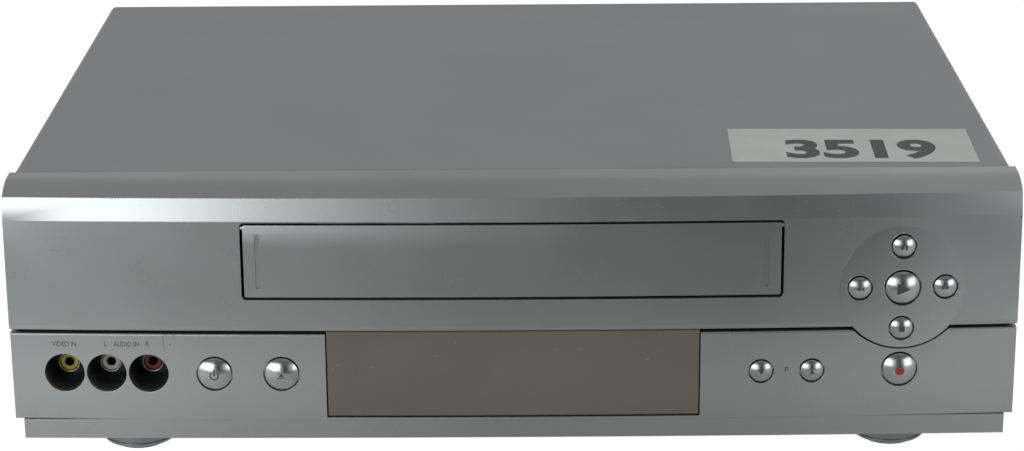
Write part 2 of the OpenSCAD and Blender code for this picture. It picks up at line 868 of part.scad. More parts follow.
module line_out_jacks() color("#202124") stand() {
    shell = 8.5;
    back = rear_y - 12;
    difference() {
        union() {
            box(line_x - 7, line_x + 7, back, rear_y - seam, line_z[0] - 8, line_z[1] + 8);
            for (z = line_z)
                along_y(line_x, z, shell_r, back + 1, rear_y + rear_t + shell - 4);
        }
        for (z = line_z)
            along_y(line_x, z, 1.7, rear_y - 6, rear_y + 20);
    }
}

module mains_inlet() color("#1a1b1d") stand() {
    pin_x = 4.3;
    mouth = rear_y + rear_t + 1;
    deep = 11;
    difference() {
        box(-inlet_x - inlet_w / 2, -inlet_x + inlet_w / 2, rear_y - 16, mouth,
            inlet_z - inlet_h / 2, inlet_z + inlet_h / 2);
        window_cut(-inlet_x, inlet_z, 16.4, 9.0, 4.4, mouth - deep, mouth + 2);
    }
    for (s = [-1, 1])
        along_y(-inlet_x + s * pin_x, inlet_z, 1.2, mouth - deep - 1, mouth - 2);
}

// The main board on the right and the power board on the left
module tray_boards() color("#2c5636") stand() {
    edge = tray_half - tray_t - 2;
    difference() {
        union() {
            box(board_in, edge, deck_front, rear_y - 2, board_z, board_z + board_t);
            box(-edge, -board_in, 128, rear_y - 17, board_z, board_z + board_t);
        }
        for (p = board_posts)
            upright(p[0], p[1], 1.4, board_z - 1, board_z + 4);
    }
}

module chip(x, y, w, d, h) {
    translate([x - w / 2, y - d / 2, board_z + board_t])
        cube([w, d, h]);
}

// The chips, capacitors, transformer and heat sink on the boards
module board_parts() color("#26282b") stand() {
    top = board_z + board_t;
    main_x = tray_half - 41.5;
    chip(main_x, 84, 20, 20, 3);
    chip(main_x, 130, 30, 12, 4);
    chip(main_x - 20, 168, 12, 24, 3.5);
    chip(main_x + 18, 176, 16, 16, 3);
    for (i = [0:4])
        upright(main_x - 20 + i * 10, 62, 3.2, top, top + 11);
    for (i = [0:3])
        upright(main_x - 18 + i * 11, 206, 4, top, top + 14);
    translate([21.5 - tray_half, 176, top]) {
        cube([26, 30, 6]);
        translate([3, 3, 6])
            cube([20, 24, 22]);
    }
    upright(-128, 240, 11, top, top + 32);
    for (i = [0:2])
        upright(-130, 152 + i * 15, 5, top, top + 20);
    translate([7.5 - tray_half, 148, top])
        difference() {
            cube([9, 66, 34]);
            for (i = [0:7])
                translate([2, 3 + i * 8, 2])
                    cube([9, 4, 34]);
        }
}

deck_front = 36;
deck_rear = 262;
deck_half = 106;
deck_low = deck_z - deck_t;
slot_half = 4.2;
capstan_x = 56;
capstan_y = drum_y - 36;
capstan_r = 1.5;
clutch_y = 140;
pinch_x = 86;
pinch_y = drum_y - 22;
pinch_pin_r = 2.5;
arm_r = 25.4;
pinch_rest = 187;
mode_x = -74;
mode_y = 238;
mesh_d = tooth_m * (mode_teeth + pinion_teeth) / 2;
mesh_turn = 30;
pinion_x = mode_x + mesh_d * cos(mesh_turn);
pinion_y = mode_y + mesh_d * sin(mesh_turn);
guide_start = -68;
guide_turn = 83;
lift_r = tooth_m * lift_teeth / 2;
lift_y = 108;
reel_pin_r = 1.5;

// An arc slot round the drum's axis, on the side s
module guide_slot(s) {
    from = s > 0 ? guide_start - 5 : 180 - guide_start - guide_turn - 5;
    translate([0, drum_y, deck_low - 1])
        rotate([0, 0, from])
            rotate_extrude(angle = guide_turn + 10)
                translate([guide_r - slot_half, 0])
                    square([2 * slot_half, deck_t + 2]);
}

module deck_plate() color("#b5b8ba") stand() {
    difference() {
        union() {
            box(-deck_half, deck_half, deck_front, deck_rear, deck_low, deck_z);
            upright(0, drum_y, 8, deck_low - 6, deck_low + 0.5);
            for (s = [-1, 1])
                upright(s * reel_x, reel_y, reel_pin_r, deck_z - 0.5, deck_z + 16);
            upright(pinch_x, pinch_y, pinch_pin_r, deck_z - 0.5, deck_z + 12);
            upright(mode_x, mode_y, 3, deck_z - 0.5, deck_z + 9);
        }
        guide_slot(1);
        guide_slot(-1);
        upright(capstan_x, capstan_y, 5.1, deck_low - 1, deck_z + 1);
        upright(0, clutch_y, 2 + run_gap, deck_low - 1, deck_z + 1);
        upright(pinion_x, pinion_y, 2.4, deck_low - 1, deck_z + 1);
        for (p = deck_posts)
            upright(p[0], p[1], 1.6, deck_low - 1, deck_z + 1);
        box(-30, 30, 56, 100, deck_low - 1, deck_z + 1);
    }
}

rail_z = mouth_floor + tape_h + 1.4;
rail_pin_r = 2;
rail_pins = [44, 126];
drop_pins = [56, 116];
drop_pin_z = mouth_floor + tape_h / 2 + 0.5;
plate_top = rail_z + 8;
load_down = mouth_floor - holder_t - deck_z - seat_h;
lift_z = deck_z + lift_r + 3.4;
slider_low = lift_z + lift_r + tooth_m;
rack_z = slider_low - tooth_m;

// A straight slot through a side plate, from one end to the other
module plate_slot(y0, z0, y1, z1, r) {
    reach = frame_x + 6;
    along_x(y0, z0, r, 80, reach);
    along_x(y1, z1, r, 80, reach);
    if (y0 == y1)
        box(80, reach, y0 - r, y0 + r, min(z0, z1), max(z0, z1));
    else
        box(80, reach, y0, y1, z0 - r, z0 + r);
}

frame_plate_t = 1.5;

module carriage_frame() color("#c1c3c4") stand() {
    back = rail_pins[1] + load_back + 8;
    brace_y = back - 26;
    both_sides()
        difference() {
            union() {
                box(frame_x, frame_x + frame_plate_t, deck_front, back, deck_z, plate_top + 2);
                box(0, frame_x + frame_plate_t, brace_y, brace_y + 20, plate_top + 1, plate_top + 2.2);
            }
            for (y = rail_pins)
                plate_slot(y, rail_z, y + load_back, rail_z, rail_pin_r + 0.1);
        }
    along_x(lift_y, lift_z, 2, slider_x - 0.4, frame_x + 0.5);
}

// A rack tooth: flanks lean 20 degrees each way from the pitch line
module rack_tooth(y) {
    h = PI * tooth_m / 4 - tooth_play / 2;
    lean = tan(20) * tooth_m;
    translate([slider_x, y, rack_z])
        rotate([90, 0, 90])
            linear_extrude(slider_t + 0.6)
                polygon([[-h - lean * 1.2, tooth_m * 1.2], [-h + lean * 0.9, -tooth_m * 0.9],
                    [h - lean * 0.9, -tooth_m * 0.9], [h + lean * 1.2, tooth_m * 1.2]]);
}

module carriage_slider() color("#9fa2a4") stand() {
    pitch = PI * tooth_m;
    low = slider_low + tooth_m * 0.2;
    rack_count = floor((load_back + 12) / pitch);
    both_sides()
        difference() {
            union() {
                box(slider_x, slider_x + slider_t, holder_front + 3, holder_rear + 2,
                    low, plate_top - 1);
                box(0, slider_x + slider_t, 66, 126, plate_top - 2.2, plate_top - 1);
                for (y = rail_pins)
                    along_x(y, rail_z, rail_pin_r, slider_x + 0.4, frame_x + frame_plate_t);
            }
            for (y = drop_pins)
                plate_slot(y, drop_pin_z - load_down, y, drop_pin_z, rail_pin_r + 0.1);
        }
    for (i = [-rack_count:2])
        rack_tooth(lift_y + i * pitch);
}

module cassette_holder() color("#d0d2d3") stand() {
    floor_z = mouth_floor - holder_t;
    top_z = mouth_floor + tape_h;
    lip_w = 14;
    both_sides() {
        box(holder_half, holder_half + holder_t, holder_front, holder_rear, floor_z,
            top_z + holder_t);
        box(holder_half - lip_w, holder_half + holder_t, frame_y + 10.6, holder_rear, floor_z,
            mouth_floor);
        box(0, holder_half + 0.5, holder_front + 8, holder_rear - 40, top_z, top_z + holder_t);
        box(holder_half - 3, holder_half + 0.5, holder_rear - holder_t, holder_rear, floor_z,
            top_z + holder_t);
        for (y = drop_pins)
            along_x(y, drop_pin_z, rail_pin_r, holder_half + 0.5, slider_x + slider_t);
    }
}

function inv(a) = tan(a) * 180 / PI - a;
function flank(n, r) = let (base = tooth_m * n / 2 * cos(20))
    90 / n - tooth_play / 4 / (tooth_m * n / 2) * 180 / PI
        + inv(20) - inv(acos(base / max(r, base + 0.0001)));

// Spur gear outline with n teeth, one of them centred on the X axis
module gear(n) {
    pitch_r = tooth_m * n / 2;
    foot = pitch_r - 1.2 * tooth_m;
    rise = [max(foot, pitch_r * cos(20) + 0.01), pitch_r, pitch_r + 0.9 * tooth_m];
    polygon([for (i = [0:n - 1]) let (c = 360 * i / n)
        each concat(
            [[foot * cos(c - flank(n, rise[0])), foot * sin(c - flank(n, rise[0]))]],
            [for (r = rise) [r * cos(c - flank(n, r)), r * sin(c - flank(n, r))]],
            [for (j = [2, 1, 0]) [rise[j] * cos(c + flank(n, rise[j])),
                rise[j] * sin(c + flank(n, rise[j]))]],
            [[foot * cos(c + flank(n, rise[0])), foot * sin(c + flank(n, rise[0]))]])]);
}

module carriage_gear() color("#e2e0d6") stand() {
    translate([slider_x - 0.2, lift_y, lift_z])
        rotate([90, 0, 90])
            difference() {
                linear_extrude(slider_t + 0.9)
                    rotate([0, 0, 90 + 180 / lift_teeth])
                        gear(lift_teeth);
                translate([0, 0, -1])
                    cylinder(r = 2 + run_gap, h = 5);
            }
}

// Puts its children in the frame of the leaning drum, with its axis along Z
module drum_frame() {
    translate([0, drum_y, deck_z + 7])
        rotate([-drum_lean, 0, 0])
            children();
}

drum_split = 15;

module drum_base() color("#b9bcbe") stand() {
    difference() {
        union() {
            translate([-27, drum_y - 27, deck_z])
                cube([54, 54, 6]);
            drum_frame() {
                translate([0, 0, -1.5])
                    cylinder(r = drum_r, h = drum_split + 1.5);
                cylinder(r = 3, h = drum_split + 20);
            }
        }
        translate([-60, drum_y - 60, deck_z - 12])
            cube([120, 120, 12]);
    }
}

module drum_head() color("#cfd2d4") stand() {
    drum_frame()
        difference() {
            translate([0, 0, drum_split + 0.4])
                cylinder(r = drum_r, h = 17);
            translate([0, 0, drum_split - 1])
                cylinder(r = 3 + run_gap, h = 22);
            for (a = [0:60:300])
                rotate([0, 0, a])
                    translate([drum_r - 2, -2.5, drum_split])
                        cube([4, 5, 3]);
            translate([0, 0, drum_split + 14])
                difference() {
                    cylinder(r = drum_r - 4, h = 6);
                    translate([0, 0, -1])
                        cylinder(r = 9, h = 8);
                }
        }
}

module capstan_housing() color("#b08d4a") stand() {
    tube_up(capstan_x, capstan_y, 5, capstan_r + run_gap, deck_low - 4, deck_z + 5.2);
    tube_up(capstan_x, capstan_y, 8, capstan_r + run_gap, deck_z, deck_z + 2);
}

belt_z = 4;
belt_h = 3;
belt_t = 1.2;
belt_gap = 0.15;
drive_r = 8;
driven_r = 14;

module capstan() color("#c6c8ca") stand() {
    upright(capstan_x, capstan_y, capstan_r, belt_z - 1, deck_z + 34);
    upright(capstan_x, capstan_y, 22, belt_z + belt_h + 2, deck_low - 5.5);
    upright(capstan_x, capstan_y, drive_r, belt_z, belt_z + belt_h + 3);
}

module reel_pulley() color("#d9d6c8") stand() {
    upright(0, clutch_y, 2, belt_z, deck_z + 5);
    upright(0, clutch_y, driven_r, belt_z, belt_z + belt_h);
    upright(0, clutch_y, 9, deck_z + 1.6, deck_z + 5);
}

// The outline round both pulleys at a distance out. The straight runs lie a touch inside
// the tangents, so that they cross the circles.
module belt_loop(out) {
    dy = capstan_y - clutch_y;
    off = acos((driven_r - drive_r) / norm([capstan_x, dy]));
    line = atan2(dy, capstan_x);
    touch = 0.02;
    near = driven_r + out - touch;
    far = drive_r + out - touch;
    circle(r = driven_r + out);
    translate([capstan_x, dy])
        circle(r = drive_r + out);
    polygon([near * [cos(line - off), sin(line - off)],
        [capstan_x, dy] + far * [cos(line - off), sin(line - off)],
        [capstan_x, dy] + far * [cos(line + off), sin(line + off)],
        near * [cos(line + off), sin(line + off)]]);
}

module drive_belt() color("#1d1d1d") stand() {
    translate([0, clutch_y, belt_z])
        linear_extrude(belt_h)
            difference() {
                belt_loop(belt_gap + belt_t);
                belt_loop(belt_gap);
            }
}

// A reel table: disc, cone and three drive fins
module reel_table(s) {
    translate([s * reel_x, reel_y, deck_z])
        difference() {
            union() {
                translate([0, 0, 1])
                    cylinder(r = 21, h = 3);
                translate([0, 0, 3])
                    cylinder(r = 8, h = 11);
                for (a = [0, 120, 240])
                    rotate([0, 0, a])
                        translate([6, -1, 3])
                            cube([6, 2, 12]);
            }
            translate([0, 0, -1])
                cylinder(r = reel_pin_r + run_gap, h = 17);
        }
}

module supply_reel_table() color("#e4e2da") stand() reel_table(-1);
module takeup_reel_table() color("#e4e2da") stand() reel_table(1);

module pinch_arm() color("#aeb1b3") stand() {
    tip_x = pinch_x + arm_r * cos(pinch_rest);
    tip_y = pinch_y + arm_r * sin(pinch_rest);
    difference() {
        union() {
            upright(pinch_x, pinch_y, 5, deck_z + 0.4, deck_z + 11);
            translate([pinch_x, pinch_y, deck_z + 6])
                rotate([0, 0, pinch_rest])
                    translate([0, -3.5, 0])
                        cube([arm_r, 7, 2]);
            upright(tip_x, tip_y, 3.5, deck_z + 6, deck_z + 8);
        }
        upright(pinch_x, pinch_y, pinch_pin_r + run_gap, deck_z, deck_z + 20);
    }
    upright(tip_x, tip_y, 1.5, deck_z + 7, deck_z + 28);
}

module pinch_roller() color("#2b2b2c") stand() {
    tip_x = pinch_x + arm_r * cos(pinch_rest);
    tip_y = pinch_y + arm_r * sin(pinch_rest);
    tube_up(tip_x, tip_y, 6, 1.5 + run_gap, deck_z + 8.4, deck_z + 26.4);
}

// A tape guide arm below the deck, with its roller post through the arc slot
module guide_arm(s, z) {
    a = s > 0 ? guide_start : 180 - guide_start;
    translate([0, drum_y, 0])
        rotate([0, 0, a]) {
            difference() {
                union() {
                    translate([0, 0, z])
                        cylinder(r = 12, h = 1.2);
                    translate([0, -4, z])
                        cube([guide_r, 8, 1.2]);
                    translate([guide_r, 0, z])
                        cylinder(r = 4, h = 1.2);
                }
                translate([0, 0, z - 1])
                    cylinder(r = 8 + run_gap, h = 4);
            }
            translate([guide_r, 0, z + 0.5])
                cylinder(r = 2, h = deck_z + 34 - z);
            translate([guide_r, 0, deck_z + 4])
                cylinder(r = 3.6, h = 24);
        }
}

module supply_guide_arm() color("#c4c6c7") stand() guide_arm(-1, deck_low - 2.6);
module takeup_guide_arm() color("#c4c6c7") stand() guide_arm(1, deck_low - 5);

module mode_gear() color("#e6e3d4") stand() {
    translate([mode_x, mode_y, deck_z + 1])
        difference() {
            linear_extrude(5)
                rotate([0, 0, mesh_turn])
                    gear(mode_teeth);
            translate([0, 0, -1])
                cylinder(r = 3 + run_gap, h = 8);
            for (a = [0:72:288])
                rotate([0, 0, a + 20])
                    translate([13, 0, -1])
                        cylinder(r = 5, h = 8);
        }
}

motor_r = 9;
motor_shaft_r = 1;
shaft_low = deck_low - 8;

module loading_motor() color("#8e9194") stand() {
    tube_up(pinion_x, pinion_y, motor_r, motor_shaft_r + run_gap, shaft_low - 1, deck_low);
    upright(pinion_x, pinion_y, motor_r, 4, shaft_low - 0.5);
}

module loading_pinion() color("#e6e3d4") stand() {
    upright(pinion_x, pinion_y, motor_shaft_r, shaft_low, deck_z + 7);
    translate([pinion_x, pinion_y, deck_z + 1])
        rotate([0, 0, mesh_turn + 180 + 180 / pinion_teeth])
            linear_extrude(5)
                gear(pinion_teeth);
}

module tape_heads() color("#9c9fa1") stand() {
    for (p = [[66, drum_y - 4], [-64, drum_y - 12]])
        translate([p[0], p[1], deck_z]) {
            translate([-8, -5, 0])
                cube([16, 10, 3]);
            translate([-5, -3.5, 2])
                cube([10, 7, 26]);
        }
}

top_cover();
cover_screws();
front_panel_upper();
front_panel_lower();
front_frame();
base_plinth();
base_tray();
feet();
foot_pads();
paper_label();
display_window();
display_tube();
cassette_door();
door_spring();
play_button();
pause_button();
stop_button();
rewind_button();
forward_button();
record_button();
power_button();
eject_button();
channel_down_button();
channel_up_button();
front_boards();
key_switches();
jack_body();
jack_shells();
video_insert();
audio_left_insert();
audio_right_insert();
rear_panel();
scart_sockets();
aerial_sockets();
tuner_can();
line_out_jacks();
mains_inlet();
tray_boards();
board_parts();
deck_plate();
carriage_frame();
carriage_slider();
cassette_holder();
carriage_gear();
drum_base();
drum_head();
capstan_housing();
capstan();
drive_belt();
reel_pulley();
supply_reel_table();
takeup_reel_table();
pinch_arm();
pinch_roller();
supply_guide_arm();
takeup_guide_arm();
mode_gear();
loading_motor();
loading_pinion();
tape_heads();
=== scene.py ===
import json
import math
import random

import bmesh
import bpy
from mathutils import Matrix, Vector
from mathutils.bvhtree import BVHTree

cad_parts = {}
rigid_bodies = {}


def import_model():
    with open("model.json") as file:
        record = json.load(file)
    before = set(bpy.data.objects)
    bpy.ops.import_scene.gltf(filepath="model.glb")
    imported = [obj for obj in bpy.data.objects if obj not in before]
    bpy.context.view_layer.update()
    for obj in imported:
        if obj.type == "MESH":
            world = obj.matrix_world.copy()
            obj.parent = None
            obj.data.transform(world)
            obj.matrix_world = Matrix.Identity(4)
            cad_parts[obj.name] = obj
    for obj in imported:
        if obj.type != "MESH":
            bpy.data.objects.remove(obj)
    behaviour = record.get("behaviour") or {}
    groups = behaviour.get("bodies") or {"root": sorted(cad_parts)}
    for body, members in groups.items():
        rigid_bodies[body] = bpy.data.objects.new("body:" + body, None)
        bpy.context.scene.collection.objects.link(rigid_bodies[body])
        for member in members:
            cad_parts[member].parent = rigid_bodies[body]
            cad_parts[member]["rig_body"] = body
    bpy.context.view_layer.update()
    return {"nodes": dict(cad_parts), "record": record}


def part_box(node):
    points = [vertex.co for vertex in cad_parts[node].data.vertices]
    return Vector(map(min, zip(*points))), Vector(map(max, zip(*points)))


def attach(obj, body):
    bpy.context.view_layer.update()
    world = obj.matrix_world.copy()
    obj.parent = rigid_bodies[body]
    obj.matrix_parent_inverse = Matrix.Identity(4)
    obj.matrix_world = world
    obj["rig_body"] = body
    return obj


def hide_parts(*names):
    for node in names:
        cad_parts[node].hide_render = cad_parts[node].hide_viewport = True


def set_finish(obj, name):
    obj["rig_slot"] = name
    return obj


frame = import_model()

# Sizes are in metres and are written as millimetres times mm
mm = 0.001
nodes = frame["nodes"]
slots = {part["node"]: part["material_slot"] for part in frame["record"]["subparts"]}

# Depth of the front moulding at its ends, from its front plane to the cover
front_depth = 20.1 * mm
front_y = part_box("front_panel_lower")[1].y - front_depth
base_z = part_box("base_plinth")[0].z
# Turns a shape drawn flat in XY to face the front
facing = Matrix.Rotation(math.radians(90), 4, "X")
# From the front into the object
inwards = Vector((0, 1, 0))
# Points of a mesh that are closer than this are one point
one_point = 0.001 * mm


def at(x, y, z):
    """A place given in mm from the middle, the front plane and the underside of the base."""
    return Vector((x * mm, front_y + y * mm, base_z + z * mm))


def linear(colour):
    """Turns an sRGB hex colour to linear RGBA."""
    value = int(colour.lstrip("#"), 16)
    parts = [(value >> shift & 255) / 255 for shift in (16, 8, 0)]
    return [c / 12.92 if c <= 0.04045 else ((c + 0.055) / 1.055) ** 2.4 for c in parts] + [1.0]


def per(size):
    """The scale of a pattern on Object coordinates whose features measure size, in mm."""
    return 1 / (size * mm)


def add_node(tree, kind, values=None, links=None, **settings):
    """Adds a node. Settings are its properties, values its inputs, links what feeds it."""
    node = tree.nodes.new(kind)
    for name, value in settings.items():
        setattr(node, name, value)
    for name, value in (values or {}).items():
        node.inputs[name].default_value = value
    for name, socket in (links or {}).items():
        tree.links.new(socket, node.inputs[name])
    return node


class Finish:
    """A material being built: its tree, its shader and its Object coordinates."""

    def __init__(self, name, colour, roughness, metallic=0.0, **sockets):
        self.material = bpy.data.materials.new(name)
        self.material.use_nodes = True
        self.tree = self.material.node_tree
        self.shader = self.tree.nodes["Principled BSDF"]
        self.shader.inputs["Base Color"].default_value = linear(colour)
        self.shader.inputs["Roughness"].default_value = roughness
        self.shader.inputs["Metallic"].default_value = metallic
        for name, value in sockets.items():
            self.shader.inputs[name.replace("_", " ")].default_value = value
        self.place = add_node(self.tree, "ShaderNodeTexCoord").outputs["Object"]

    def mottle(self, size, first, second):
        """Blotches of about size mm whose colour drifts from first to second."""
        clouds = add_node(self.tree, "ShaderNodeTexNoise", {"Scale": per(size), "Detail": 3.0},
                          {"Vector": self.place})
        share = add_node(self.tree, "ShaderNodeMapRange", {"From Min": 0.35, "From Max": 0.65},
                         {"Value": clouds.outputs["Fac"]})
        mix = add_node(self.tree, "ShaderNodeMix", {"A": linear(first), "B": linear(second)},
                       {"Factor": share.outputs["Result"]}, data_type="RGBA")
        self.tree.links.new(mix.outputs[2], self.shader.inputs["Base Color"])

    def wear(self, size, low, high, stretch=(1, 1, 1)):
        """Patches or lines of about size mm whose roughness drifts from low to high."""
        along = add_node(self.tree, "ShaderNodeMapping", {"Scale": stretch},
                         {"Vector": self.place})
        clouds = add_node(self.tree, "ShaderNodeTexNoise", {"Scale": per(size), "Detail": 3.0},
                          {"Vector": along.outputs["Vector"]})
        share = add_node(self.tree, "ShaderNodeMapRange",
                         {"From Min": 0.35, "From Max": 0.65, "To Min": low, "To Max": high},
                         {"Value": clouds.outputs["Fac"]})
        self.tree.links.new(share.outputs["Result"], self.shader.inputs["Roughness"])

    def grain(self, size, depth, stretch=(1, 1, 1)):
        """A relief of about size mm between its heights and depth mm deep."""
        along = add_node(self.tree, "ShaderNodeMapping", {"Scale": stretch},
                         {"Vector": self.place})
        height = add_node(self.tree, "ShaderNodeTexNoise", {"Scale": per(size), "Detail": 2.0},
                          {"Vector": along.outputs["Vector"]})
        bump = add_node(self.tree, "ShaderNodeBump", {"Distance": depth * mm, "Strength": 1.0},
                        {"Height": height.outputs["Fac"]})
        self.tree.links.new(bump.outputs["Normal"], self.shader.inputs["Normal"])


def cover_steel():
    # Sheet steel in satin grey metallic paint: even, with a fine orange peel, faintly handled
    f = Finish("cover_steel", "#7B7D7F", 0.5, 0.25)
    f.mottle(70, "#7A7C7E", "#7D7F81")
    f.wear(90, 0.48, 0.53)
    f.grain(1.6, 0.006)
    return f.material


def silver_moulding():
    # ABS sprayed with silver lacquer: its flakes are too fine to see, and it mirrors softly
    f = Finish("silver_moulding", "#909292", 0.28, 0.86)
    f.mottle(55, "#8F9191", "#929494")
    f.wear(26, 0.27, 0.29)
    f.grain(1.4, 0.0004)
    return f.material


def black_plastic():
    # ABS from a spark-eroded mould: black, with a fine even grain
    f = Finish("black_plastic", "#292C2D", 0.42, Specular_IOR_Level=0.5)
    f.mottle(12, "#272A2B", "#2D3031")
    f.grain(0.45, 0.02)
    return f.material


def foot_plastic():
    # ABS sprayed silver, duller than the front; its colour is painted shade, darker than the
    # front's for the shade under the case
    f = Finish("foot_plastic", "#707374", 0.38, 0.7)
    f.mottle(9, "#6D7071", "#747778")
    f.grain(0.7, 0.003)
    return f.material


def smoked_window():
    # Cast acrylic: smoked brown and polished, with fine dust in its surface
    f = Finish("smoked_window", "#615A4F", 0.16, 0.0, Coat_Weight=0.3, Coat_Roughness=0.1)
    f.mottle(45, "#5E574C", "#645D52")
    f.wear(0.8, 0.14, 0.22)
    return f.material


def display_glass():
    # Evacuated glass tube: nearly black behind its filter
    f = Finish("display_glass", "#16211F", 0.08, 0.0, Coat_Weight=1.0)
    f.mottle(20, "#141E1C", "#1A2624")
    return f.material


def key_chrome():
    # ABS plated with satin chrome: grey and bright, slightly hazed by touch
    f = Finish("key_chrome", "#989A9A", 0.22, 1.0)
    f.mottle(6, "#959797", "#9C9E9E")
    f.wear(3.0, 0.2, 0.25)
    return f.material


def nickel():
    # Nickel plate on steel: a dull warm grey, darker than bright nickel
    f = Finish("nickel", "#8F8D85", 0.33, 1.0)
    f.mottle(3, "#88867D", "#97958D")
    f.wear(1.2, 0.28, 0.4)
    return f.material


def moulded_insert(name, pale, deep):
    # Moulded nylon: a waxy sheen, a shade darker where the mould was full
    f = Finish(name, pale, 0.38, 0.0, Subsurface_Weight=0.05, Subsurface_Scale=0.6 * mm)
    f.mottle(2.5, pale, deep)
    f.grain(0.5, 0.01)
    return f.material


def rubber():
    # Moulded rubber: black, matt and slightly dusty
    f = Finish("rubber", "#1F2021", 0.78)
    f.mottle(4, "#1B1C1D", "#2A2B2B")
    f.grain(0.6, 0.03)
    return f.material


def label_paper():
    # Matt label paper: off-white, with faint fibres and a little ground-in dust
    f = Finish("label_paper", "#B4B6B3", 0.85, 0.0, Specular_IOR_Level=0.25)
    f.mottle(14, "#B1B3B0", "#B7B9B5")
    f.grain(0.9, 0.012, (0.25, 1.0, 1.0))
    return f.material


def zinc_steel():
    # Zinc-coated sheet steel: large pale spangles over a cool grey
    f = Finish("zinc_steel", "#A2A5A6", 0.36, 1.0)
    spangle = add_node(f.tree, "ShaderNodeTexVoronoi", {"Scale": per(6)}, {"Vector": f.place})
    mix = add_node(f.tree, "ShaderNodeMix", {"A": linear("#95989A"), "B": linear("#AEB1B2")},
                   {"Factor": spangle.outputs["Color"]}, data_type="RGBA")
    dull = add_node(f.tree, "ShaderNodeMapRange", {"To Min": 0.3, "To Max": 0.46},
                    {"Value": spangle.outputs["Color"]})
    f.tree.links.new(mix.outputs[2], f.shader.inputs["Base Color"])
    f.tree.links.new(dull.outputs["Result"], f.shader.inputs["Roughness"])
    return f.material


def plated_steel():
    # Turned or pressed steel with bright zinc plating
    f = Finish("plated_steel", "#B4B6B7", 0.28, 1.0)
    f.mottle(3, "#ABADAF", "#BBBDBE")
    f.wear(0.8, 0.22, 0.36)
    return f.material


def ground_steel():
    # Centreless-ground steel: fine rings round the shaft
    f = Finish("ground_steel", "#B9BABA", 0.18, 1.0)
    f.mottle(4, "#B2B3B3", "#C0C1C1")
    f.wear(0.5, 0.12, 0.26, (0.05, 0.05, 1.0))
    return f.material


def tinplate():
    # Tinned steel can: bright, with faint rolling lines
    f = Finish("tinplate", "#AEB0AF", 0.26, 1.0)
    f.mottle(9, "#A6A8A7", "#B5B7B6")
    f.wear(0.6, 0.2, 0.34, (1.0, 0.04, 1.0))
    return f.material


def circuit_board():
    # Paper-phenolic board under green solder resist, with its tracks showing as lighter lanes
    f = Finish("circuit_board", "#2C5238", 0.4)
    lanes = add_node(f.tree, "ShaderNodeTexBrick",
                     {"Scale": per(30), "Mortar Size": 0.03, "Color1": linear("#2A4F36"),
                      "Color2": linear("#315B3E"), "Mortar": linear("#4B7350")},
                     {"Vector": f.place})
    raised = add_node(f.tree, "ShaderNodeBump", {"Distance": 0.03 * mm, "Strength": 1.0},
                      {"Height": lanes.outputs["Fac"]})
    f.tree.links.new(lanes.outputs["Color"], f.shader.inputs["Base Color"])
    f.tree.links.new(raised.outputs["Normal"], f.shader.inputs["Normal"])
    return f.material


def component_black():
    # Epoxy and sleeving: matt black to dark grey
    f = Finish("component_black", "#232527", 0.5)
    f.mottle(7, "#1E2022", "#2C2E31")
    f.grain(0.5, 0.02)
    return f.material


def acetal():
    # Natural acetal: milky, smooth, with soft translucency
    f = Finish("acetal", "#DCD9CC", 0.34, 0.0, Subsurface_Weight=0.1, Subsurface_Scale=1.0 * mm)
    f.mottle(9, "#D6D3C5", "#E2DFD3")
    f.wear(3, 0.3, 0.38)
    return f.material


def cast_aluminium():
    # Die-cast aluminium: a cool grey skin with fine flow marks
    f = Finish("cast_aluminium", "#A3A6A8", 0.42, 1.0)
    f.mottle(8, "#9A9D9F", "#ABAEB0")
    f.grain(0.8, 0.02)
    return f.material


def turned_aluminium():
    # Diamond-turned aluminium: bright, with close rings round the drum
    f = Finish("turned_aluminium", "#C2C4C6", 0.14, 1.0)
    f.mottle(6, "#BEC0C2", "#C6C8CA")
    f.wear(0.5, 0.08, 0.2, (0.03, 0.03, 1.0))
    return f.material


def bearing_brass():
    # Turned brass, slightly browned
    f = Finish("bearing_brass", "#B08D4A", 0.26, 1.0)
    f.mottle(3, "#A58242", "#BA9853")
    f.wear(0.7, 0.2, 0.34)
    return f.material


def ink(name, colour):
    # Screen-printing ink: flat and matt
    f = Finish(name, colour, 0.6)
    f.wear(0.6, 0.52, 0.68)
    return f.material


finishes = {make.__name__: make() for make in (
    cover_steel, silver_moulding, black_plastic, foot_plastic, smoked_window, display_glass,
    key_chrome, nickel, rubber, label_paper, zinc_steel, plated_steel, ground_steel, tinplate,
    circuit_board, component_black, acetal, cast_aluminium, turned_aluminium, bearing_brass)}
finishes["yellow_plastic"] = moulded_insert("yellow_plastic", "#B5A31F", "#998718")
finishes["white_plastic"] = moulded_insert("white_plastic", "#C9C9BB", "#B6B5A5")
finishes["red_plastic"] = moulded_insert("red_plastic", "#7E1A2E", "#681225")
dark_ink = ink("dark_ink", "#2E3032")
label_ink = ink("label_ink", "#37393A")
red_ink = ink("red_ink", "#7F1A2C")
bare_plastic = ink("bare_plastic", "#2F3130")
pale_dust = ink("pale_dust", "#8F8B84")


def edge_angle(edge):
    return edge.calc_face_angle(0.0) if len(edge.link_faces) == 2 else 0.0


def spot(edge):
    """The middle of an edge in mm, from the same three places as at()."""
    middle = (edge.verts[0].co + edge.verts[1].co) / 2
    return Vector((middle.x, middle.y - front_y, middle.z - base_z)) / mm


def make_piece(name, bm, material, body, slot, replaced=(), sharp=32):
    """Turns a bmesh into a piece that rides on a body. Edges over sharp degrees stay crisp."""
    for face in bm.faces:
        face.smooth = True
    for edge in bm.edges:
        if sharp and edge_angle(edge) > math.radians(sharp):
            edge.smooth = False
    mesh = bpy.data.meshes.new(name)
    bm.to_mesh(mesh)
    bm.free()
    piece = bpy.data.objects.new(name, mesh)
    bpy.context.scene.collection.objects.link(piece)
    mesh.materials.append(material)
    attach(piece, body)
    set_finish(piece, slot)
    if replaced:
        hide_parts(*replaced)
    return piece


def anywhere(place):
    return True


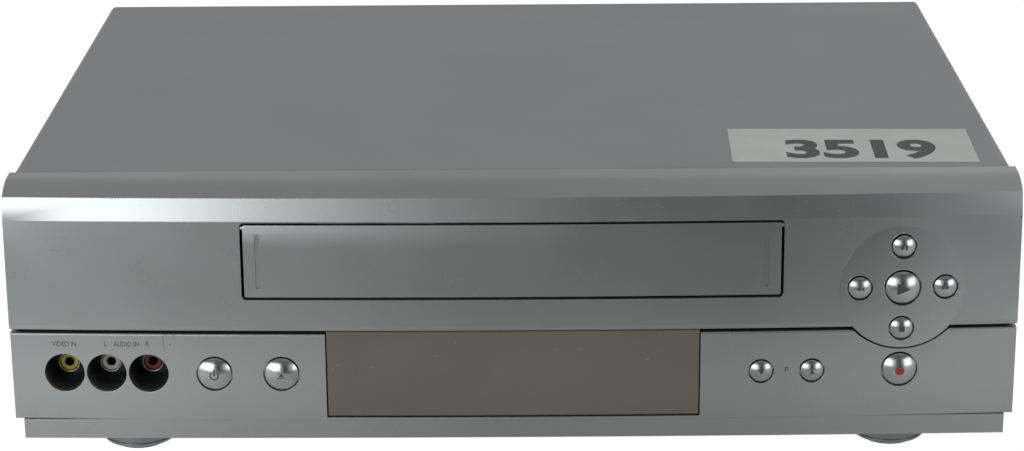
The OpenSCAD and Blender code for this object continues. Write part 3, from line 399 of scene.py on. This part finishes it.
def softened(node, *rounds, crease=8, corner=25, segments=2):
    """A copy of a CAD node with its corners rounded, as a moulding or a bent sheet has them.

    Each round is a width and a test of the places where it applies. Creases flatter than
    a corner stay crisp."""
    bm = bmesh.new()
    bm.from_mesh(nodes[node].data)
    bmesh.ops.remove_doubles(bm, verts=bm.verts, dist=one_point)
    bmesh.ops.dissolve_limit(bm, angle_limit=math.radians(0.05), verts=bm.verts, edges=bm.edges)
    for edge in bm.edges:
        edge.smooth = edge_angle(edge) < math.radians(crease)
    for width, where in rounds:
        corners = [e for e in bm.edges
                   if not e.smooth and edge_angle(e) > math.radians(corner) and where(spot(e))]
        for edge in corners:
            edge.smooth = True
        bmesh.ops.bevel(bm, geom=corners, offset=width, offset_type="OFFSET", affect="EDGES",
                        segments=segments, profile=0.5, material=-1, clamp_overlap=True)
    piece = make_piece(node + "_finished", bm, finishes[slots[node]], nodes[node]["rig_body"],
                       slots[node], [node], sharp=None)
    weighted = piece.modifiers.new("even_shading", "WEIGHTED_NORMAL")
    weighted.keep_sharp = True
    return piece


def spun(bm, profile, centre, steps=64):
    """Spins a profile of (radius, y) points round the Y axis through centre."""
    verts = [bm.verts.new((centre.x + r, y, centre.z)) for r, y in profile]
    edges = [bm.edges.new(pair) for pair in zip(verts, verts[1:])]
    bmesh.ops.spin(bm, geom=verts + edges, cent=centre, axis=(0, 1, 0), angle=2 * math.pi,
                   steps=steps, use_merge=True)
    bmesh.ops.remove_doubles(bm, verts=bm.verts, dist=0.002 * mm)
    bmesh.ops.recalc_face_normals(bm, faces=bm.faces)


def arc(centre_r, centre_y, radius, start, end, steps):
    """Points of an arc in (radius, y), its angle in degrees from -Y towards the outside."""
    out = []
    for i in range(steps + 1):
        a = math.radians(start + (end - start) * i / steps)
        out.append((centre_r + radius * math.sin(a), centre_y - radius * math.cos(a)))
    return out


# The largest cap's radius and the height of its dome, which the smaller ones share in scale
big_cap = 6.35 * mm
key_rise = 2.3 * mm
# How far a key's collar reaches past its cap, behind the skin
collar_reach = 1.4 * mm
cap_rim = 0.3 * mm
stem_r = 2.0 * mm


def domed_key(node):
    """A plated key: its dome with a rounded rim, its collar behind the skin and its stem."""
    low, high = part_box(node)
    centre = (low + high) / 2
    collar_r = (high.x - low.x) / 2
    cap_r = collar_r - collar_reach
    rise = key_rise * cap_r / big_cap
    ball = (cap_r ** 2 + rise ** 2) / (2 * rise)
    reach = [v.co for v in nodes[node].data.vertices
             if math.hypot(v.co.x - centre.x, v.co.z - centre.z) > cap_r + 0.5 * mm]
    collar_front, collar_back = min(c.y for c in reach), max(c.y for c in reach)
    turn = math.degrees(math.asin((cap_r - cap_rim) / (ball - cap_rim)))
    rim_y = low.y + ball - (ball - cap_rim) * math.cos(math.radians(turn))
    profile = arc(0, low.y + ball, ball, 0, turn, 16)
    profile += arc(cap_r - cap_rim, rim_y, cap_rim, turn, 90, 5)[1:]
    profile += [(cap_r, collar_front), (collar_r, collar_front), (collar_r, collar_back),
                (stem_r, collar_back), (stem_r, high.y), (0, high.y)]
    bm = bmesh.new()
    spun(bm, profile, centre)
    return make_piece(node + "_finished", bm, finishes["key_chrome"], nodes[node]["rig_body"],
                      "key_chrome", [node])


# Half the thickness of ink, with which it also sinks into its surface
film = 0.02 * mm
# Further off than anything that could stand before a print
clear_of_all = 0.1


def wrap(bm, piece, step=None, direction=inwards):
    """Lays flat shapes on a piece as a thin closed film. Long ones are cut every step first."""
    if step:
        for axis in (Vector((1, 0, 0)), Vector((0, 0, 1))):
            reach = [v.co.dot(axis) for v in bm.verts]
            for i in range(1, int((max(reach) - min(reach)) / step) + 1):
                bmesh.ops.bisect_plane(bm, geom=bm.verts[:] + bm.edges[:] + bm.faces[:],
                                       plane_co=axis * (min(reach) + i * step), plane_no=axis)
    surface = BVHTree.FromObject(piece, bpy.context.evaluated_depsgraph_get())
    for v in bm.verts:
        hit = surface.ray_cast(v.co - direction * clear_of_all, direction)[0]
        if hit:
            v.co = hit + direction * film
    cap = bmesh.ops.extrude_face_region(bm, geom=bm.faces[:])
    moved = [g for g in cap["geom"] if isinstance(g, bmesh.types.BMVert)]
    bmesh.ops.translate(bm, verts=moved, vec=direction * -2 * film)
    bmesh.ops.recalc_face_normals(bm, faces=bm.faces)


def printed(name, bm, piece, material, step=None, direction=inwards):
    """Lays shapes on a piece and gives them its body and slot."""
    wrap(bm, piece, step, direction)
    return make_piece(name, bm, material, piece["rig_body"], piece["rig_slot"])


def triangle(bm, place, width, height, turn=0):
    """A triangle that fills width by height, its tip turned from straight up by quarter turns."""
    unit = Matrix.Diagonal((1 / math.sqrt(3), 1 / 1.5, 1, 1)) @ Matrix.Translation((0, -0.25, 0))
    turned = Matrix.Rotation(math.radians(turn), 4, "Z")
    shape = Matrix.Diagonal((width, height, 1, 1)) @ turned @ unit
    bmesh.ops.create_circle(bm, cap_ends=True, segments=3, radius=1,
                            matrix=Matrix.Translation(place) @ facing @ shape)


def bar(bm, place, width, height, lean=0):
    """A plain bar, its foot turned lean degrees towards the right."""
    turned = Matrix.Rotation(math.radians(lean), 4, "Z")
    shape = turned @ Matrix.Diagonal((width / 2, height / 2, 1, 1))
    bmesh.ops.create_grid(bm, x_segments=1, y_segments=1, size=1,
                          matrix=Matrix.Translation(place) @ facing @ shape)


def dot(bm, place, radius, segments=40):
    bmesh.ops.create_circle(bm, cap_ends=True, segments=segments, radius=radius,
                            matrix=Matrix.Translation(place) @ facing)


def ring_arc(bm, place, radius, width, start, sweep):
    """A flat band round part of a circle, its angles in degrees from the right."""
    ends = [bm.verts.new((radius + side * width / 2, 0, 0)) for side in (-1, 1)]
    others = set(bm.verts) - set(ends)
    edge = bm.edges.new(ends)
    bmesh.ops.spin(bm, geom=ends + [edge], cent=(0, 0, 0), axis=(0, 0, 1),
                   angle=math.radians(sweep), steps=28)
    turned = Matrix.Translation(place) @ facing @ Matrix.Rotation(math.radians(start), 4, "Z")
    bmesh.ops.transform(bm, matrix=turned, verts=[v for v in bm.verts if v not in others])


def words(text, centre, width, height, bold=0.0):
    """A bmesh of lettering that fills width by height, facing the front."""
    curve = bpy.data.curves.new("lettering", "FONT")
    curve.body = text
    curve.offset = bold
    holder = bpy.data.objects.new("lettering", curve)
    bm = bmesh.new()
    bm.from_mesh(holder.to_mesh())
    bpy.data.objects.remove(holder)
    bpy.data.curves.remove(curve)
    low = Vector(min(v.co[i] for v in bm.verts) for i in range(3))
    high = Vector(max(v.co[i] for v in bm.verts) for i in range(3))
    fit = Matrix.Diagonal((width / (high.x - low.x), height / (high.y - low.y), 1, 1))
    move = Matrix.Translation(centre) @ facing @ fit @ Matrix.Translation(-(low + high) / 2)
    bmesh.ops.transform(bm, matrix=move, verts=bm.verts)
    bmesh.ops.remove_doubles(bm, verts=bm.verts, dist=one_point)
    return bm


disc_middle = (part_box("play_button")[0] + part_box("play_button")[1]) / 2
# In mm, like every place that a rounding is tested at
disc_r = 23.5


def off_disc(place):
    """How far a place is from the middle of the keys' disc, in mm."""
    return math.hypot(place.x - disc_middle.x / mm, place.z - (disc_middle.z - base_z) / mm)


door_low, door_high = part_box("cassette_door")
door_half = 100.3
door_foot = (door_low.z - base_z) / mm
door_top = (door_high.z - base_z) / mm


def in_mouth(place):
    return abs(place.x) < door_half + 2 and door_foot - 2 < place.z < door_top + 1.5


def make_front():
    """The front's mouldings, door and window. The band and the disc keep their crisp creases."""
    key_boxes = [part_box(n) for n in nodes if n.endswith("_button")]

    def on_key_hole(place):
        for low, high in key_boxes:
            x, z = (low.x + high.x) / 2 / mm, ((low.z + high.z) / 2 - base_z) / mm
            if math.hypot(place.x - x, place.z - z) < (high.x - low.x) / 2 / mm:
                return True
        return False

    def on_case(place):
        return not in_mouth(place) and off_disc(place) > disc_r + 0.6

    def on_door_rim(place):
        return abs(place.x) > door_half - 2 or place.z < door_foot + 1 or place.z > door_top - 1

    upper = softened("front_panel_upper", (0.1 * mm, in_mouth), (0.08 * mm, on_key_hole),
                     (0.3 * mm, on_case))
    lower = softened("front_panel_lower", (0.1 * mm, on_key_hole), (0.28 * mm, anywhere),
                     segments=3)
    softened("cassette_door", (0.38 * mm, on_door_rim), (0.2 * mm, anywhere), segments=3)
    window = softened("display_window", (0.2 * mm, anywhere))
    for node in ("front_frame", "base_plinth", "feet"):
        softened(node, (0.15 * mm, anywhere))
    return upper, lower, window


def make_shells():
    """The cover, the tray and what shows at the rear."""
    softened("top_cover", (0.12 * mm, anywhere))
    for node in ("rear_panel", "base_tray", "scart_sockets", "line_out_jacks", "mains_inlet",
                 "aerial_sockets", "tuner_can", "cover_screws", "foot_pads"):
        softened(node, (0.08 * mm, anywhere))


def make_sockets():
    """The front sockets: shells with rolled lips, coloured inserts, and black linings in the bores
    as painted shade.
    """
    low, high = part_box("jack_shells")
    shell_r, shell_t, roll = 4.15 * mm, 0.6 * mm, 0.3 * mm
    bore, sleeve, play = 1.8 * mm, 0.15 * mm, 0.05 * mm
    middle = (low + high) / 2
    bm, painted_shades = bmesh.new(), bmesh.new()
    for node, slot, side in (("video_insert", "yellow_plastic", -1),
                             ("audio_left_insert", "white_plastic", 0),
                             ("audio_right_insert", "red_plastic", 1)):
        centre = middle + Vector((side * ((high.x - low.x) / 2 - shell_r), 0, 0))
        wall = shell_r - shell_t
        shell = arc(shell_r - roll, low.y + roll, roll, 90, -110, 10)
        shell += [(wall, low.y + 2.4 * roll), (wall, high.y), (shell_r, high.y), shell[0]]
        spun(bm, shell, centre, 48)
        outer, lip = shell_r - 2 * roll - 0.08 * mm, 0.4 * mm
        front = low.y + 0.5 * mm
        insert = arc(outer - lip, front + lip, lip, 90, 0, 5)
        insert += arc(bore + lip, front + lip, lip, 0, -90, 5)
        insert += [(bore, high.y), (wall - play, high.y), (wall - play, low.y + 3 * roll),
                   (outer, low.y + 3 * roll), insert[0]]
        filled = bmesh.new()
        spun(filled, insert, centre, 48)
        make_piece(node + "_finished", filled, finishes[slot], "case", slot, [node])
        # painted shade: a black lining down each bore stands in for the dark of the deep hole
        mouth = front + 1.5 * lip
        spun(painted_shades, [(bore, mouth), (bore - sleeve, mouth), (bore - sleeve, high.y),
                       (bore, high.y), (bore, mouth)], centre, 32)
    make_piece("bore_painted_shades", painted_shades, finishes["component_black"], "case", "component_black")
    make_piece("jack_shells_finished", bm, finishes["nickel"], "case", "nickel", ["jack_shells"])


def make_keys():
    """Every key with its printed mark."""
    keys = {n: domed_key(n) for n in nodes if n.endswith("_button")}
    centre = {n: (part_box(n)[0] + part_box(n)[1]) / 2 for n in keys}
    shapes = {n: bmesh.new() for n in keys}

    def spaced(node, across, up=0.0):
        return centre[node] + Vector((across * mm, 0, up * mm))

    triangle(shapes["play_button"], spaced("play_button", 0.3), 5.2 * mm, 4.6 * mm, -90)
    for side in (-1, 1):
        bar(shapes["pause_button"], spaced("pause_button", side * 0.8), 0.8 * mm, 2.1 * mm)
        for node, turn in (("rewind_button", 90), ("forward_button", -90)):
            triangle(shapes[node], spaced(node, side * 0.72), 1.45 * mm, 1.6 * mm, turn)
    bar(shapes["stop_button"], centre["stop_button"], 2.2 * mm, 2.2 * mm)
    triangle(shapes["eject_button"], spaced("eject_button", 0, 0.35), 2.2 * mm, 1.4 * mm)
    bar(shapes["eject_button"], spaced("eject_button", 0, -0.85), 2.9 * mm, 0.35 * mm)
    for node, turn in (("channel_up_button", 0), ("channel_down_button", 180)):
        triangle(shapes[node], centre[node], 2.2 * mm, 1.7 * mm, turn)
    dot(shapes["record_button"], centre["record_button"], 1.75 * mm)
    bar(shapes["power_button"], spaced("power_button", 0, 1.15), 0.6 * mm, 2.6 * mm)
    ring_arc(shapes["power_button"], centre["power_button"], 1.55 * mm, 0.52 * mm, 125, 290)
    for n, bm in shapes.items():
        red = n == "record_button"
        printed(n.replace("_button", "_mark"), bm, keys[n], red_ink if red else dark_ink, 0.5 * mm)


def make_print(lower):
    """Functional lettering over the front sockets and keys."""
    for name, text, x, z, width in (("video_word", "VIDEO IN", -169.6, 38.4, 9.2),
                                    ("left_word", "L", -153.8, 38.6, 0.9),
                                    ("audio_word", "AUDIO IN", -146.0, 38.5, 9.6),
                                    ("right_word", "R", -137.9, 38.6, 1.2),
                                    ("channel_word", "P", 103.4, 27.2, 1.3)):
        bm = words(text, at(x, 0, z), width * mm, 2.0 * mm, 0.008)
        printed(name, bm, lower, dark_ink)


def make_label():
    """Paper label on the cover with plain digits."""
    label = softened("paper_label", (0.03 * mm, anywhere), segments=1)
    low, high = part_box("paper_label")
    middle = (low + high) / 2
    bm = words("3519", Vector((0, 0, 0)), 58 * mm, 25 * mm, 0.04)
    flat = facing.inverted()
    turn = Matrix.Rotation(math.radians(-1.4), 4, "Z")
    place = Matrix.Translation(middle + Vector((3.2 * mm, -5.4 * mm, 0)))
    bmesh.ops.transform(bm, matrix=place @ turn @ flat, verts=bm.verts)
    printed("label_digits", bm, label, label_ink, direction=Vector((0, 0, -1)))


def make_marks(upper, lower, window):
    """What use has left on the front: chips in the lacquer, a scratch and dust on the window."""
    chance = random.Random(7)

    def chip(bm, x, z, width, height):
        start = len(bm.verts)
        dot(bm, at(x, 0, z), 1, 9)
        bm.verts.ensure_lookup_table()
        for v in bm.verts[start:]:
            out = (v.co - at(x, 0, z)) * chance.uniform(0.6, 1.15)
            v.co = at(x, 0, z) + Vector((out.x * width * mm / 2, 0, out.z * height * mm / 2))

    bm = bmesh.new()
    for x, z, width, height in ((-129.3, 38.4, 0.5, 0.6), (-131.0, 42.2, 0.8, 0.35),
                                (-129.6, 42.3, 0.5, 0.3), (-127.9, 42.2, 0.7, 0.3)):
        chip(bm, x, z, width, height)
    bar(bm, at(-131.8, 0, 38.6), 0.13 * mm, 6.4 * mm, 3)
    printed("lower_chips", bm, lower, bare_plastic)
    bm = bmesh.new()
    for x, z, width, height in ((189.4, 86.4, 0.7, 0.8), (-148.6, 95.3, 0.7, 0.3),
                                (-147.2, 95.3, 0.5, 0.3), (-146.2, 95.3, 0.6, 0.25)):
        chip(bm, x, z, width, height)
    printed("upper_chips", bm, upper, bare_plastic)
    bm = bmesh.new()
    for x, z in ((-66, 30.1), (-68, 28.4), (-52.9, 29.2), (-21.7, 38.9), (-29, 33.7), (24.5, 40.2),
                 (16.3, 36.2), (25.3, 36.2), (55.3, 42.4), (50.9, 31.9)):
        chip(bm, x, z, chance.uniform(0.3, 0.6), chance.uniform(0.3, 0.5))
    printed("window_dust", bm, window, pale_dust)


def make_door_spring():
    """The door's return spring: a coil on its stub with a straight tail on the door."""
    low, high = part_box("door_spring")
    wire, turns = 0.25 * mm, 7
    coil_r = 1.9 * mm - wire
    centre = Vector((low.x + wire, low.y + 1.9 * mm, high.z - 1.9 * mm))
    centre.y = (low.y + high.y) / 2
    length = high.x - low.x - 2 * wire
    bm = bmesh.new()
    ring = bmesh.ops.create_circle(bm, segments=10, radius=wire,
                                   matrix=Matrix.Translation(centre + Vector((0, 0, coil_r)))
                                   @ Matrix.Rotation(math.radians(90), 4, "X"))["verts"]
    steps = turns * 24
    edges = [e for e in bm.edges if all(v in ring for v in e.verts)]
    made = bmesh.ops.spin(bm, geom=list(ring) + edges, cent=centre, axis=(1, 0, 0),
                          angle=math.radians(360 * turns), steps=steps,
                          dvec=Vector((length / steps, 0, 0)))
    last = [g for g in made["geom_last"] if isinstance(g, bmesh.types.BMEdge)]
    tail = bmesh.ops.extrude_edge_only(bm, edges=last)
    moved = [g for g in tail["geom"] if isinstance(g, bmesh.types.BMVert)]
    bmesh.ops.translate(bm, verts=moved, vec=Vector((0, 0.4 * mm, low.z - centre.z - coil_r)))
    bmesh.ops.holes_fill(bm, edges=[e for e in bm.edges if e.is_boundary], sides=0)
    bmesh.ops.recalc_face_normals(bm, faces=bm.faces)
    make_piece("door_spring_finished", bm, finishes[slots["door_spring"]],
               nodes["door_spring"]["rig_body"], slots["door_spring"], ["door_spring"])


def finish_nodes():
    """Gives every CAD node that is still shown the finish of its slot."""
    for name, node in nodes.items():
        node.data.materials.clear()
        node.data.materials.append(finishes[slots[name]])


def seen_directly(tree):
    """1 for camera, glossy and transmission rays, which see the white background."""
    path = add_node(tree, "ShaderNodeLightPath").outputs
    both = add_node(tree, "ShaderNodeMath", None,
                    {0: path["Is Camera Ray"], 1: path["Is Glossy Ray"]}, operation="MAXIMUM")
    return add_node(tree, "ShaderNodeMath", None,
                    {0: both.outputs[0], 1: path["Is Transmission Ray"]},
                    operation="MAXIMUM").outputs[0]


def bare_tree(name):
    """A new material with an empty tree."""
    material = bpy.data.materials.new(name)
    material.use_nodes = True
    material.node_tree.nodes.clear()
    return material, material.node_tree


def stage_piece(name, bm, material, reflected_only=True):
    """A floor of the studio, or a glowing sheet of painted reflection. Most show only in the
    object's reflections.
    """
    mesh = bpy.data.meshes.new(name)
    bm.to_mesh(mesh)
    bm.free()
    piece = bpy.data.objects.new(name, mesh)
    bpy.context.scene.collection.objects.link(piece)
    mesh.materials.append(material)
    if reflected_only:
        piece.visible_camera = False
        piece.visible_diffuse = False
        piece.visible_shadow = False
        piece.visible_transmission = False
    return piece


def flat_grid(left, right, front, back, z):
    """A level rectangle between these sides, in metres, as a bmesh."""
    bm = bmesh.new()
    middle = Vector(((left + right) / 2, (front + back) / 2, z))
    size = Matrix.Diagonal(((right - left) / 2, (back - front) / 2, 1, 1))
    bmesh.ops.create_grid(bm, x_segments=1, y_segments=1, size=1,
                          matrix=Matrix.Translation(middle) @ size)
    return bm


def make_floor():
    """Plain pale table, white to the eye, which keeps the object's shadow."""
    material, tree = bare_tree("pale_floor")
    matt = add_node(tree, "ShaderNodeBsdfDiffuse", {"Color": (0.8, 0.8, 0.8, 1)})
    white = add_node(tree, "ShaderNodeEmission", {"Color": (1, 1, 1, 1), "Strength": 1.14})
    share = add_node(tree, "ShaderNodeMath", {1: 0.86}, {0: seen_directly(tree)},
                     operation="MULTIPLY")
    mixed = add_node(tree, "ShaderNodeMixShader", None,
                     {0: share.outputs[0], 1: matt.outputs[0], 2: white.outputs[0]})
    add_node(tree, "ShaderNodeOutputMaterial", None, {"Surface": mixed.outputs[0]})
    stage_piece("floor", flat_grid(-1.8, 1.8, -0.36, 1.6, 0), material, False)


def make_world():
    world = bpy.data.worlds.new("studio")
    bpy.context.scene.world = world
    world.use_nodes = True
    tree = world.node_tree
    tree.nodes.clear()
    strength = add_node(tree, "ShaderNodeMapRange", {"To Min": 0.5, "To Max": 1.05},
                        {"Value": seen_directly(tree)})
    sky = add_node(tree, "ShaderNodeBackground", {"Color": (1, 1, 1, 1)},
                   {"Strength": strength.outputs["Result"]})
    add_node(tree, "ShaderNodeOutputWorld", None, {"Surface": sky.outputs[0]})


def tones_across(tree, axis, brightest, stops):
    """A scale of greys along an axis, as shares of the brightest, from places and tones."""
    first, last = stops[0][0], stops[-1][0]
    share = add_node(tree, "ShaderNodeMapRange", {"From Min": first, "From Max": last},
                     {"Value": axis})
    ramp = add_node(tree, "ShaderNodeValToRGB", None, {"Fac": share.outputs["Result"]})
    marks = ramp.color_ramp.elements
    marks.remove(marks[1])
    for i, (place, tone) in enumerate(stops):
        along = (place - first) / (last - first)
        mark = marks[0] if i == 0 else marks.new(along)
        mark.position = along
        mark.color = [tone / brightest] * 3 + [1]
    return ramp.outputs["Color"]


def make_painted_front_glow():
    """A glowing wall before the object, for reflections only: painted reflection of the room, with
    a painted glow as bright as a lamp at the left, dark at the right.
    """
    material, tree = bare_tree("front_reflection_glow")
    place = add_node(tree, "ShaderNodeTexCoord").outputs["Object"]
    axes = add_node(tree, "ShaderNodeSeparateXYZ", None, {"Vector": place}).outputs
    # painted reflection: the glow rises to brightest at the left and falls to upper_part high up
    brightest, upper_part = 3.1, 0.2
    across = tones_across(tree, axes["X"], brightest, (
        (-0.7, 3.1), (-0.58, 2.35), (-0.436, 1.7), (-0.29, 1.0), (-0.155, 0.5), (-0.1, 0.38),
        (0.2, 0.04), (0.35, 0.04), (0.47, 0.1), (0.53, 0.2), (0.62, 0.35), (0.68, 0.42),
        (1.0, 1.1)))
    rise = add_node(tree, "ShaderNodeMapRange", {"From Min": 0.8, "From Max": 1.0},
                    {"Value": axes["Z"]})
    tone = add_node(tree, "ShaderNodeMix", {"B": [upper_part / brightest] * 3 + [1]},
                    {"Factor": rise.outputs["Result"], "A": across}, data_type="RGBA")
    # painted shade: the glow dims towards the floor
    painted_low_shade = add_node(tree, "ShaderNodeMapRange",
                   {"From Min": 0.0, "From Max": 0.1, "To Min": 0.7 * brightest,
                    "To Max": brightest}, {"Value": axes["Z"]})
    glow = add_node(tree, "ShaderNodeEmission", None,
                    {"Color": tone.outputs[2], "Strength": painted_low_shade.outputs["Result"]})
    add_node(tree, "ShaderNodeOutputMaterial", None, {"Surface": glow.outputs[0]})
    radius, low, high, half = 1.75, -1.2, 2.1, math.radians(80)
    bm = bmesh.new()
    start = [bm.verts.new((math.sin(-half) * radius, -math.cos(half) * radius, z))
             for z in (low, high)]
    edge = bm.edges.new(start)
    bmesh.ops.spin(bm, geom=start + [edge], cent=(0, 0, 0), axis=(0, 0, 1), angle=2 * half,
                   steps=32)
    stage_piece("front_reflection_glow", bm, material)


def make_painted_ceiling_glow():
    """A glowing ceiling and wall behind, seen only in reflections: painted reflection, grey, paler
    to the right.
    """
    material, tree = bare_tree("ceiling_reflection_glow")
    place = add_node(tree, "ShaderNodeTexCoord").outputs["Object"]
    axes = add_node(tree, "ShaderNodeSeparateXYZ", None, {"Vector": place}).outputs
    tone = tones_across(tree, axes["X"], 1.0, (
        (-0.5, 0.6), (-0.3, 0.56), (-0.1, 0.5), (0.1, 0.5), (0.3, 0.6), (0.5, 0.72)))
    glow = add_node(tree, "ShaderNodeEmission", {"Strength": 1.0}, {"Color": tone})
    add_node(tree, "ShaderNodeOutputMaterial", None, {"Surface": glow.outputs[0]})
    half_width, front_edge, height = 2.0, -1.4, 1.7
    bm = bmesh.new()
    start = [bm.verts.new((x, front_edge, height)) for x in (-half_width, half_width)]
    edge = bm.edges.new(start)
    bmesh.ops.spin(bm, geom=start + [edge], cent=(0, 0, 0), axis=(1, 0, 0),
                   angle=math.radians(-122), steps=32)
    stage_piece("ceiling_reflection_glow", bm, material)


def make_painted_table_glow():
    """A glowing sheet over the table before the object, seen only in reflections: painted
    reflection of the table as the front mirrors it, pale at the sides, dull between.
    """
    material, tree = bare_tree("table_reflection_glow")
    place = add_node(tree, "ShaderNodeTexCoord").outputs["Object"]
    axes = add_node(tree, "ShaderNodeSeparateXYZ", None, {"Vector": place}).outputs
    brightest = 1.15
    # painted reflection: tones across the sheet, near, middle and far from the front
    near = tones_across(tree, axes["X"], brightest, (
        (-0.19, 1.15), (-0.1, 0.87), (0.0, 0.59), (0.08, 0.6), (0.19, 0.87)))
    middle = tones_across(tree, axes["X"], brightest, (
        (-0.24, 0.5), (-0.15, 0.38), (-0.05, 0.3), (0.05, 0.26), (0.15, 0.16), (0.187, 0.42),
        (0.225, 0.85), (0.26, 0.68)))
    far = tones_across(tree, axes["X"], brightest, (
        (-0.3, 1.15), (-0.13, 1.15), (-0.06, 0.8), (0.0, 0.6), (0.06, 0.38), (0.13, 0.28)))

    def nearer(reach, full, beyond, within):
        """Goes from the tone beyond one distance to the tone within another."""
        share = add_node(tree, "ShaderNodeMapRange",
                         {"From Min": front_y - reach, "From Max": front_y - full},
                         {"Value": axes["Y"]})
        return add_node(tree, "ShaderNodeMix", None,
                        {"Factor": share.outputs["Result"], "A": beyond, "B": within},
                        data_type="RGBA").outputs[2]

    tone = nearer(0.22, 0.1, nearer(0.44, 0.32, far, middle), near)
    # painted shade: dimmer just under the front and further out
    shade_by_distance = tones_across(tree, axes["Y"], brightest, (
        (front_y - 0.34, 0.75), (front_y - 0.24, 1.15), (front_y - 0.07, 1.15),
        (front_y - 0.03, 0.95)))
    power = add_node(tree, "ShaderNodeMath", {1: brightest}, {0: shade_by_distance}, operation="MULTIPLY")
    glow = add_node(tree, "ShaderNodeEmission", None,
                    {"Color": tone, "Strength": power.outputs[0]})
    add_node(tree, "ShaderNodeOutputMaterial", None, {"Surface": glow.outputs[0]})
    # It ends just under the front, and lies clear of the floor
    glow_sheet = flat_grid(-1.5, 1.5, front_y - 1.2, front_y + 0.005, 1 * mm)
    stage_piece("table_reflection_glow", glow_sheet, material)


def softbox(name, place, aim, width, height, radiance, colour):
    """A lamp at a place, turned to its aim."""
    lamp = bpy.data.lights.new(name, "AREA")
    lamp.shape = "RECTANGLE"
    lamp.size, lamp.size_y = width, height
    lamp.energy = radiance * math.pi * width * height
    lamp.color = linear(colour)[:3]
    holder = bpy.data.objects.new(name, lamp)
    bpy.context.scene.collection.objects.link(holder)
    holder.location = place
    holder.rotation_mode = "QUATERNION"
    holder.rotation_quaternion = (aim - place).to_track_quat("-Z", "Y")
    holder.visible_camera = False
    return holder


def make_lights():
    softbox("left_softbox", at(-335, -450, 200), at(-150, 0, 60), 0.3, 0.26, 3.0, "#EEF6F8")
    softbox("right_softbox", at(430, -290, 130), at(160, 0, 60), 0.26, 0.24, 2.6, "#EEF3F8")
    top = softbox("top_softbox", at(0, 500, 1450), at(0, 130, 60), 1.6, 1.0, 1.0, "#FFFFFF")
    top.visible_glossy = False


def make_camera():
    """The photograph's view: from about 1 m, looking 18.7 degrees down."""
    tilt, turn, roll = (math.radians(a) for a in (18.6629, -0.3966, -0.4772))
    across, into = math.sin(turn) * math.cos(tilt), math.cos(turn) * math.cos(tilt)
    ahead = Vector((across, into, -math.sin(tilt)))
    level = Vector((math.cos(turn), -math.sin(turn), 0))
    upward = level.cross(ahead)
    right = level * math.cos(roll) + upward * math.sin(roll)
    up = upward * math.cos(roll) - level * math.sin(roll)
    data = bpy.data.cameras.new("camera")
    data.sensor_width = 36
    data.lens = 94.913
    camera = bpy.data.objects.new("camera", data)
    bpy.context.scene.collection.objects.link(camera)
    turned = Matrix((right, up, -ahead)).transposed()
    camera.matrix_world = Matrix.Translation(at(6.646, -952.999, 405.967)) @ turned.to_4x4()
    bpy.context.scene.camera = camera


bpy.context.scene.view_settings.view_transform = "Standard"
finish_nodes()
upper, lower, window = make_front()
make_shells()
make_sockets()
make_keys()
make_print(lower)
make_label()
make_marks(upper, lower, window)
make_door_spring()
make_floor()
make_world()
make_painted_front_glow()
make_painted_ceiling_glow()
make_painted_table_glow()
make_lights()
make_camera()
